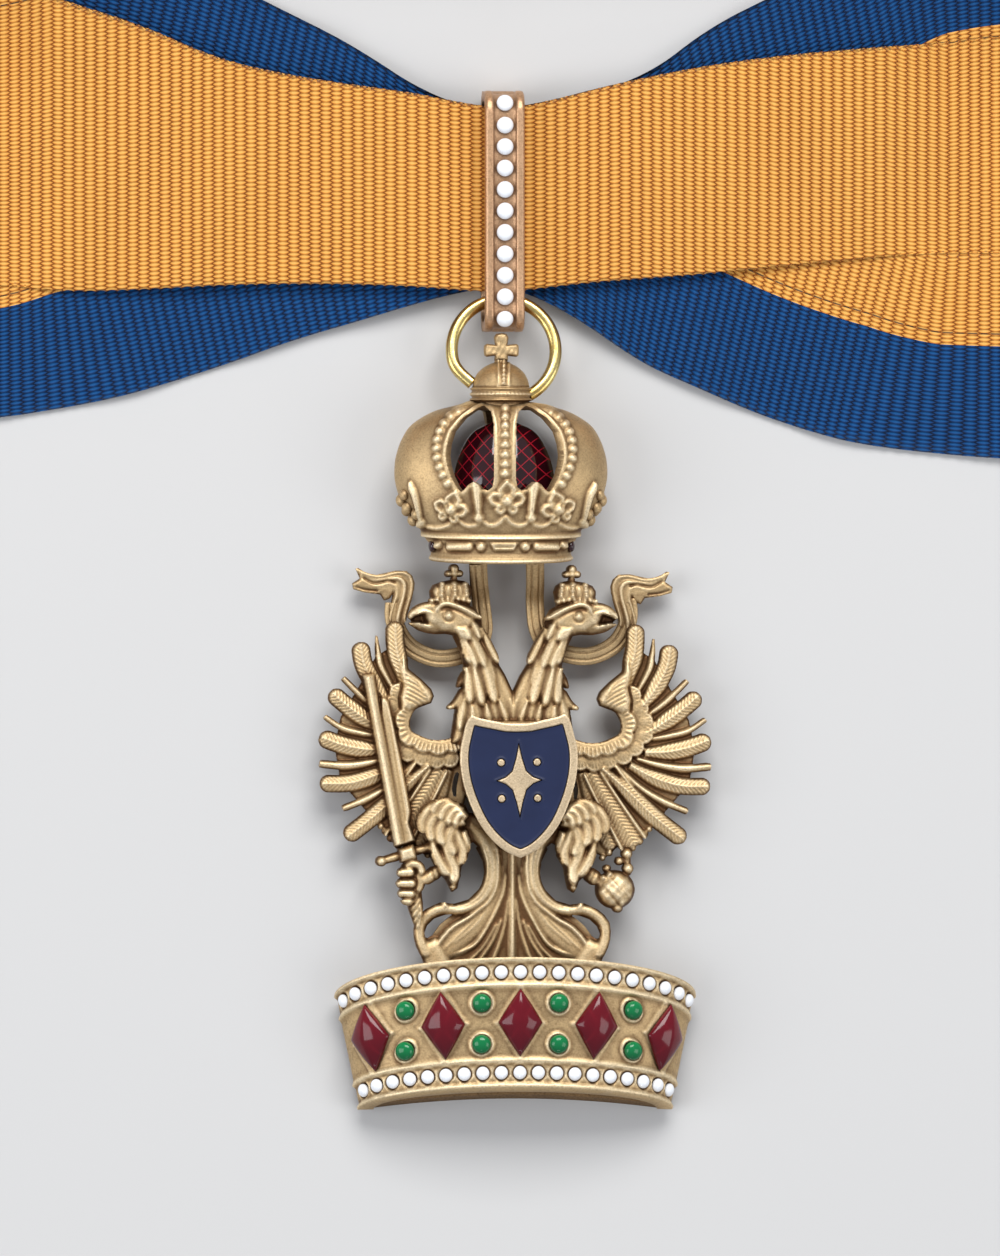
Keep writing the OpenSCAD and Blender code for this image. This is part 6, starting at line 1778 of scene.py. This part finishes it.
def make_base():
    nu, nv = ((350, 104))
    us = np.linspace(math.pi, 0, nu)
    vs = np.linspace(0, 1, nv)
    R = Skin(lambda u, v: base_point(u, v, 0.0), us, vs)
    # drawn in the band's own length and height
    s = np.zeros(R.U.shape)
    last = len(ARC_ROWS) - 1
    for j, v in enumerate(vs):
        k = min(last - 1, int(v * last))
        f = v * last - k
        table = ARC_ROWS[k] * (1 - f) + ARC_ROWS[k + 1] * f
        s[:, j] = np.interp(us[::-1], ARC_A[::-1], table[::-1])[::-1]
    R.px = s / UNIT
    R.py = R.V * BASE_H / UNIT
    R.h = band_profile(R.V)
    k = 1 / UNIT
    for _, _, count, pitch, v in BEAD_ROWS:
        for i in range(count):
            c = ((i - (count - 1) / 2) * pitch * k, v * BASE_H * k)
            win = R.window([c], 12)
            if win is None:
                continue
            rho = np.hypot(R.px[win] - c[0], R.py[win] - c[1])
            r = 0.63 * k
            R.h[win] = R.h[win] + 0.1 * np.exp(-((rho - r - 1.9) / 0.9) ** 2) * (R.h[win] < 0.2)
            R.h[win] = np.where(rho < r + 0.9, np.minimum(R.h[win], 0.02) - 0.26, R.h[win])
    # stippled ground with short scratches
    g = np.random.default_rng(11)
    ground = (R.V > BEAD_BAND + 0.02) & (R.V < 1 - BEAD_BAND - 0.02)
    grain = g.normal(0, 1, R.U.shape)
    grain = grain - blur(grain, 2)
    R.h = R.h + np.where(ground, 0.012 * grain, 0.004 * grain)
    for _ in range(420):
        x0 = g.uniform(-23, 23) * k
        y0 = g.uniform(BEAD_BAND + 0.03, 1 - BEAD_BAND - 0.03) * BASE_H * k
        a = g.uniform(0, math.pi)
        l = g.uniform(3, 9)
        pts = [(x0, y0), (x0 + 0.5 * l * math.cos(a) + g.uniform(-1, 1),
                          y0 + 0.5 * l * math.sin(a) + g.uniform(-1, 1)),
               (x0 + l * math.cos(a), y0 + l * math.sin(a))]
        win = R.window(pts, 3)
        if win is None or (win[0].stop - win[0].start) < 2 or (win[1].stop - win[1].start) < 2:
            continue
        s_, t_, l_ = along_curve(R.px[win], R.py[win], np.array(pts))
        R.h[win] = R.h[win] - 0.035 * np.exp(-(t_ / 0.8) ** 2) * (s_ > -0.5) * (s_ < l_ + 0.5)
    # thin frames round the lozenges and collars round the green stones
    for i in range(5):
        c = (i - 2) * LOZENGE_PITCH * k
        w, h = (LOZENGE_W / 2) * k, (LOZENGE_H / 2) * k
        mid = 0.5 * BASE_H * k
        poly = [(c + w, mid), (c, mid + h), (c - w, mid), (c, mid - h)]
        win = R.window(poly, 7)
        d = poly_distance(R.px[win], R.py[win], poly)
        frame_h = 0.2 * np.exp(-((d + 1.0) / 0.9) ** 2)
        R.h[win] = np.maximum(R.h[win], np.where(d > 0.2, 0.2, frame_h + R.h[win]))
        for tx, ty in ((0, -h - 2.8), (0, h + 2.8), (w + 2.2, 0), (-w - 2.2, 0)):
            blob_win = R.window([(c + tx, mid + ty)], 4)
            if blob_win:
                rho = np.hypot(R.px[blob_win] - c - tx, R.py[blob_win] - mid - ty)
                R.h[blob_win] = np.maximum(R.h[blob_win], 0.3 * np.sqrt(np.clip(1 - (rho / 1.8) ** 2, 0, 1)))
    for v in GREEN_ROWS:
        for j in range(1, 5):
            c = ((j - 2.5) * LOZENGE_PITCH * k, v * BASE_H * k)
            win = R.window([c], 16)
            rho = np.hypot(R.px[win] - c[0], R.py[win] - c[1])
            r = GREEN_D / 2 * k
            R.h[win] = np.maximum(R.h[win],
                                  0.04 + 0.42 * np.exp(-((rho - r - 1.1) / 1.0) ** 4) * (rho < r + 4))
            R.h[win] = R.h[win] - 0.05 * np.exp(-((rho - r - 4.0) / 1.0) ** 2)

    def inner(U, V):
        p = base_point(U, V, -BASE_WALL)
        p[..., 2] = np.maximum(p[..., 2], FOOT_Z - 0.3)
        return p

    band = R.build("base_crown_band", GILT, inner=inner, wear_and_shade_gain=3.8)
    ride(band, "base_crown")
    # back wall that closes the band; its lower edge is arched
    p = Parts()
    cols = np.linspace(-1, 1, 41)
    rows = [(0.0, 0.0), (0.0, 0.9), (0.5, 1.0), (0.86, 1.0), (0.93, 1.35), (0.985, 1.3), (1.0, 1.1),
            (1.0, 0.0)]
    pts = []
    for u in cols:
        for v, z in rows:
            half = (BASE_W * (1 - v) + BASE_LOW_W * v) / 2 - 0.5
            top = BASE_TOP - UPPER_SLOPE * BASE_D
            low = BASE_TOP - BASE_H - LOWER_SLOPE * (BASE_D - FOOT_Z) + BACK_ARCH * (1 - u * u)
            slope = UPPER_SLOPE * (1 - v) + LOWER_SLOPE * v
            pts.append((BASE_X + u * half, top + (low - top) * v + slope * z, z))
    p.add(pts, tube_faces(len(cols), len(rows)))
    # plain rest inside the band, under the tail
    x0, x1 = BASE_X - 5, BASE_X + 5
    y1 = BASE_TOP - UPPER_SLOPE * (BASE_D - EAGLE_Z)
    y0, z0, z1 = y1 - 3.2, 0.65, EAGLE_Z - 0.15
    v = [(x, y, z) for x in (x0, x1) for y in (y0, y1) for z in (z0, z1)]
    p.add(v, [[0, 1, 3, 2], [4, 6, 7, 5], [0, 4, 5, 1], [2, 3, 7, 6], [0, 2, 6, 4], [1, 5, 7, 3]])
    ride(recalc(p.mesh("base_crown_back", SHADED_INNER_BRONZE, smooth=False)), "base_crown")


make_base()


def make_stones():
    # pillow-shaped red lozenges with soft ridges from corner to corner
    n = 14
    for i in range(5):
        place, axes = on_band((i - 2) * LOZENGE_PITCH, 0.5, FIELD_OUT)
        u = np.linspace(-1, 1, 2 * n + 1)
        A, B = np.meshgrid(u, u, indexing="ij")
        full = 1 + 0.09 * (1 - ((A + B) / 2) ** 2 - ((A - B) / 2) ** 2)
        X = (A + B) / 2 * LOZENGE_W / 2 * full
        Y = (A - B) / 2 * LOZENGE_H / 2 * full
        edge = np.minimum(1 - np.abs(A), 1 - np.abs(B))
        round_top = (1 - A ** 2) * (1 - B ** 2)
        Z = 0.25 + 1.0 * (0.3 * np.sqrt(np.clip(edge, 0, 1)) + 0.7 * round_top ** 0.5)
        ridge = np.exp(-((A * B) / 0.05) ** 2) * (1 - edge)
        # painted light: lighter toward the top and along the ridges
        bright = np.clip(0.42 + 0.3 * (Y / (LOZENGE_H / 2)) + 0.3 * ridge, 0, 1)
        P = place + X[..., None] * axes[0] + Y[..., None] * axes[1] + Z[..., None] * axes[2]
        m = 2 * n + 1
        top = P.reshape(-1, 3)
        faces = [list(f) for f in grid_faces(m, m)]
        low = place + X[..., None] * axes[0] + Y[..., None] * axes[1] + 0.2 * axes[2]
        border = [(0, j) for j in range(m)] + [(k, m - 1) for k in range(1, m)] + \
                 [(m - 1, j) for j in range(m - 2, -1, -1)] + [(k, 0) for k in range(m - 2, 0, -1)]
        base = len(top)
        low_pts = [low[a, b] for a, b in border]
        ids = [a * m + b for a, b in border]
        q = len(border)
        for j in range(q):
            faces.append([ids[j], ids[(j + 1) % q], base + (j + 1) % q, base + j])
        faces.append([base + j for j in range(q)])
        # painted shade: the sides are darker
        wear_and_shade = np.concatenate([bright.reshape(-1), np.full(q, 0.3)])
        obj = make_mesh("lozenge_stone_%d" % (i + 1), np.vstack([top, low_pts]), faces, RED,
                        attrs={"wear_and_shade": wear_and_shade})
        recalc(obj)
        ride(obj, "red_lozenge_%d" % (i + 1))
    for r, v in enumerate(GREEN_ROWS):
        for j in range(1, 5):
            place, axes = on_band((j - 2.5) * LOZENGE_PITCH, v, FIELD_OUT)
            t = np.linspace(0, 2 * math.pi, 40, endpoint=False)
            rings = [(1.0, 0.2), (1.0, 0.42), (0.97, 0.55), (0.88, 0.7), (0.72, 0.83), (0.5, 0.92),
                     (0.25, 0.975), (0.02, 0.99)]
            pts, wear_and_shade = [], []
            for rr, z in rings:
                x, y = rr * GREEN_D / 2 * np.cos(t), rr * GREEN_D / 2 * np.sin(t)
                pts.append(place + x[:, None] * axes[0] + y[:, None] * axes[1] + z * axes[2])
                # painted light: lighter on the upper side of the dome
                wear_and_shade.append(np.clip(0.5 + 0.5 * rr * np.sin(t), 0, 1))
            faces = tube_faces(len(rings), len(t))
            obj = make_mesh("green_dome_%d" % (4 * r + j), np.concatenate(pts), faces, GREEN,
                            attrs={"wear_and_shade": np.concatenate(wear_and_shade)})
            ride(recalc(obj), "green_stone_%d" % (4 * r + j))
    # white beads of both bands
    for name, node, count, pitch, v in BEAD_ROWS:
        p = Parts()
        for i in range(count):
            place, axes = on_band((i - (count - 1) / 2) * pitch, v, 0.0)
            p.add(*ball(place, (0.64, 0.66, 0.46), axes, seg=24, rings=14))
        ride(recalc(p.mesh(name, WHITE)), node)


make_stones()


# Bail, ring, clasp
def make_bail():
    """Loop of the bail, with two raised side rims and a hollow channel along its front."""
    l, d, r, wall = BAIL_L, BAIL_D, 2.1, 1.0
    # outline of the loop seen from the side: y along, z up
    pts = []
    for cy, cz, a0 in ((l / 2 - r, d / 2 - r, 0), (-l / 2 + r, d / 2 - r, 90), (-l / 2 + r, -d / 2 + r, 180),
                       (l / 2 - r, -d / 2 + r, 270)):
        for a in np.linspace(a0, a0 + 90, 12):
            pts.append((cy + r * math.cos(math.radians(a)), cz + r * math.sin(math.radians(a))))
    loop = np.array(pts)
    seg = np.linalg.norm(np.roll(loop, -1, 0) - loop, axis=1)
    s = np.concatenate([[0], np.cumsum(seg)])
    n = 360
    at = np.linspace(0, s[-1], n, endpoint=False)
    closed = np.vstack([loop, loop[:1]])
    line = np.stack([np.interp(at, s, closed[:, 0]), np.interp(at, s, closed[:, 1])], 1)
    nxt, prv = np.roll(line, -2, 0), np.roll(line, 2, 0)
    t = nxt - prv
    t /= np.linalg.norm(t, axis=1)[:, None]
    out = np.stack([t[:, 1], -t[:, 0]], 1)
    half = BAIL_W / 2
    # cross-section: place across the bail and how far in from the outside
    front = smoothstep(-1.2, -0.2, line[:, 1] - (d / 2 - 2.2))
    across = [(-half, wall), (-half, 0.25), (-half + 0.1, 0.07), (-half + 0.28, 0.0), (-half + 0.62, 0.0),
              (-half + 0.76, 0.05), (-half + 0.82, 0.12), (-half + 0.9, 0.34), (-0.6, 0.36), (0, 0.35),
              (0.6, 0.36), (half - 0.9, 0.34), (half - 0.82, 0.12), (half - 0.76, 0.05), (half - 0.62, 0.0),
              (half - 0.28, 0.0), (half - 0.1, 0.07), (half, 0.25), (half, wall)]
    rows = []
    g = np.random.default_rng(5)
    dents = g.normal(0, 0.012, n)
    dents = np.convolve(np.concatenate([dents, dents, dents]), np.ones(9) / 9, "same")[n:2 * n]
    for x, inward in across:
        depth = np.where(np.full(n, 0.13 < inward < 0.9), 0.02 + (inward - 0.02) * front, inward)
        groove = 0.05 * math.exp(-((abs(x) - (half - 0.45)) / 0.07) ** 2)
        p = line - out * (depth + groove + (dents if inward < 0.9 else 0))[:, None]
        rows.append(np.stack([np.full(n, x), BAIL_TOP - l / 2 + p[:, 0], d / 2 + p[:, 1]], 1))
    pts3 = np.array(rows).transpose(1, 0, 2)
    m = len(across)
    faces = grid_faces(n, m, wrap_m=True, wrap_n=True)
    obj = make_mesh("bail_loop", pts3.reshape(-1, 3), faces, BAIL_BRONZE)
    ride(recalc(obj), "ribbon_bail")
    p = Parts()
    row = l - 2 * r + 1.6
    pitch = row / 10
    for i in range(11):
        y = BAIL_TOP - (l - row) / 2 - i * pitch
        # the end ones follow the round ends of the loop
        over = max(0.0, abs(y - (BAIL_TOP - l / 2)) - (l / 2 - r))
        ang = math.asin(min(1, over / (r - 0.1)))
        sign = -1 if y < BAIL_TOP - l / 2 else 1
        z = d - 0.36 - (r - 0.35) * (1 - math.cos(ang))
        nrm = np.array([0, sign * math.sin(ang), math.cos(ang)])
        x_ax = np.array([1.0, 0, 0])
        y_ax = np.cross(nrm, x_ax)
        p.add(*ball(np.array([0.0, y, z]) + 0.2 * nrm, (0.82, 0.82, 0.58), np.array([x_ax, y_ax, nrm]),
                    seg=28, rings=16))
    ride(recalc(p.mesh("bail_pearls", WHITE)), "bail_beads_white")


make_bail()


def make_ring():
    """Round wire bent to a ring: one end runs into the orb, the other is cut square beside it."""
    high = BAIL_D / 2
    tilt = math.asin((CROWN_Z - high) / (2 * RING_R))
    a = np.radians(np.linspace(-62, 227, 160))
    bent = RING_R * (1 - 0.10 * smoothstep(math.radians(190), math.radians(227), a))
    rise = bent * np.sin(a)
    line = np.stack([bent * np.cos(a), rise * math.cos(tilt), -rise * math.sin(tilt)], 1)
    line += [0, RING_Y, (high + CROWN_Z) / 2]
    t = np.linspace(0, 2 * math.pi, 28, endpoint=False)
    wire = RING_WIRE / 2
    squarish = [(wire * math.copysign(abs(math.cos(q)) ** 0.8, math.cos(q)),
                 wire * math.copysign(abs(math.sin(q)) ** 0.8, math.sin(q))) for q in t]
    ride(swept_piece("ring_wire", line, squarish, BRASS), "jump_ring")


make_ring()

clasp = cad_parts["neck_clasp"]
clasp.data.materials.clear()
clasp.data.materials.append(BRASS)

# Floor, lights, camera
bpy.ops.mesh.primitive_plane_add(size=1.6, location=(0, 0, -0.00002))
floor = bpy.context.object
floor.name = "floor"
mat, _, bsdf = new_material("floor_paper")
bsdf.inputs["Base Color"].default_value = (0.545, 0.545, 0.545, 1)
bsdf.inputs["Roughness"].default_value = 0.75
floor.data.materials.append(mat)

world = bpy.data.worlds.new("studio")
bpy.context.scene.world = world
world.use_nodes = True
world.node_tree.nodes["Background"].inputs[0].default_value = (0.9, 0.93, 1.0, 1)
world.node_tree.nodes["Background"].inputs[1].default_value = 0.42


LAMP_TARGET = (0, -0.02, 0)


def area(name, place, size, energy, color=(1, 1, 1)):
    """Rectangular lamp that shines at the badge."""
    light = bpy.data.lights.new(name, "AREA")
    light.shape = "RECTANGLE"
    light.size, light.size_y = size
    light.energy = energy
    light.color = color
    obj = bpy.data.objects.new(name, light)
    bpy.context.scene.collection.objects.link(obj)
    obj.location = place
    aim = Vector(LAMP_TARGET) - Vector(place)
    obj.rotation_euler = aim.to_track_quat("-Z", "Y").to_euler()


area("softbox_top", (0.05, 0.62, 0.75), (0.7, 0.5), 9.5, (1, 0.99, 0.97))
area("softbox_left", (-0.75, -0.1, 0.6), (0.5, 0.7), 4.0, (0.97, 0.98, 1))
area("softbox_right", (0.8, -0.25, 0.7), (0.5, 0.6), 2.6, (1, 0.99, 0.98))
area("lamp_low_left", (-0.12, -1.15, 0.55), (0.05, 0.04), 0.35)
area("lamp_low_right", (0.22, -1.15, 0.55), (0.05, 0.04), 0.35)

VIEW_X = (PHOTO_W / 2 - ZERO_COL) / PX_PER_MM
VIEW_Y = (ZERO_ROW - PHOTO_H / 2) / PX_PER_MM + CENTRE_Y
VIEW_Z = 3.0
CAM_H = 2.2
SENSOR = 36
cam_data = bpy.data.cameras.new("camera")
cam = bpy.data.objects.new("camera", cam_data)
bpy.context.scene.collection.objects.link(cam)
bpy.context.scene.camera = cam
look = np.array([VIEW_X - VIEW_Z * LEAN, VIEW_Y, VIEW_Z]) * MM
cam.location = look + np.array([-CAM_H * LEAN, 0, CAM_H])
direction = look - np.array(cam.location)
cam.rotation_euler = (0, -math.atan2(LEAN, 1), 0)
cam_data.sensor_fit = "VERTICAL"
cam_data.sensor_height = SENSOR
distance = float(np.linalg.norm(direction))
cam_data.lens = SENSOR * distance / (PHOTO_H / PX_PER_MM * MM)
cam_data.clip_start, cam_data.clip_end = 0.01, 10
bpy.context.scene.view_settings.view_transform = "Standard"
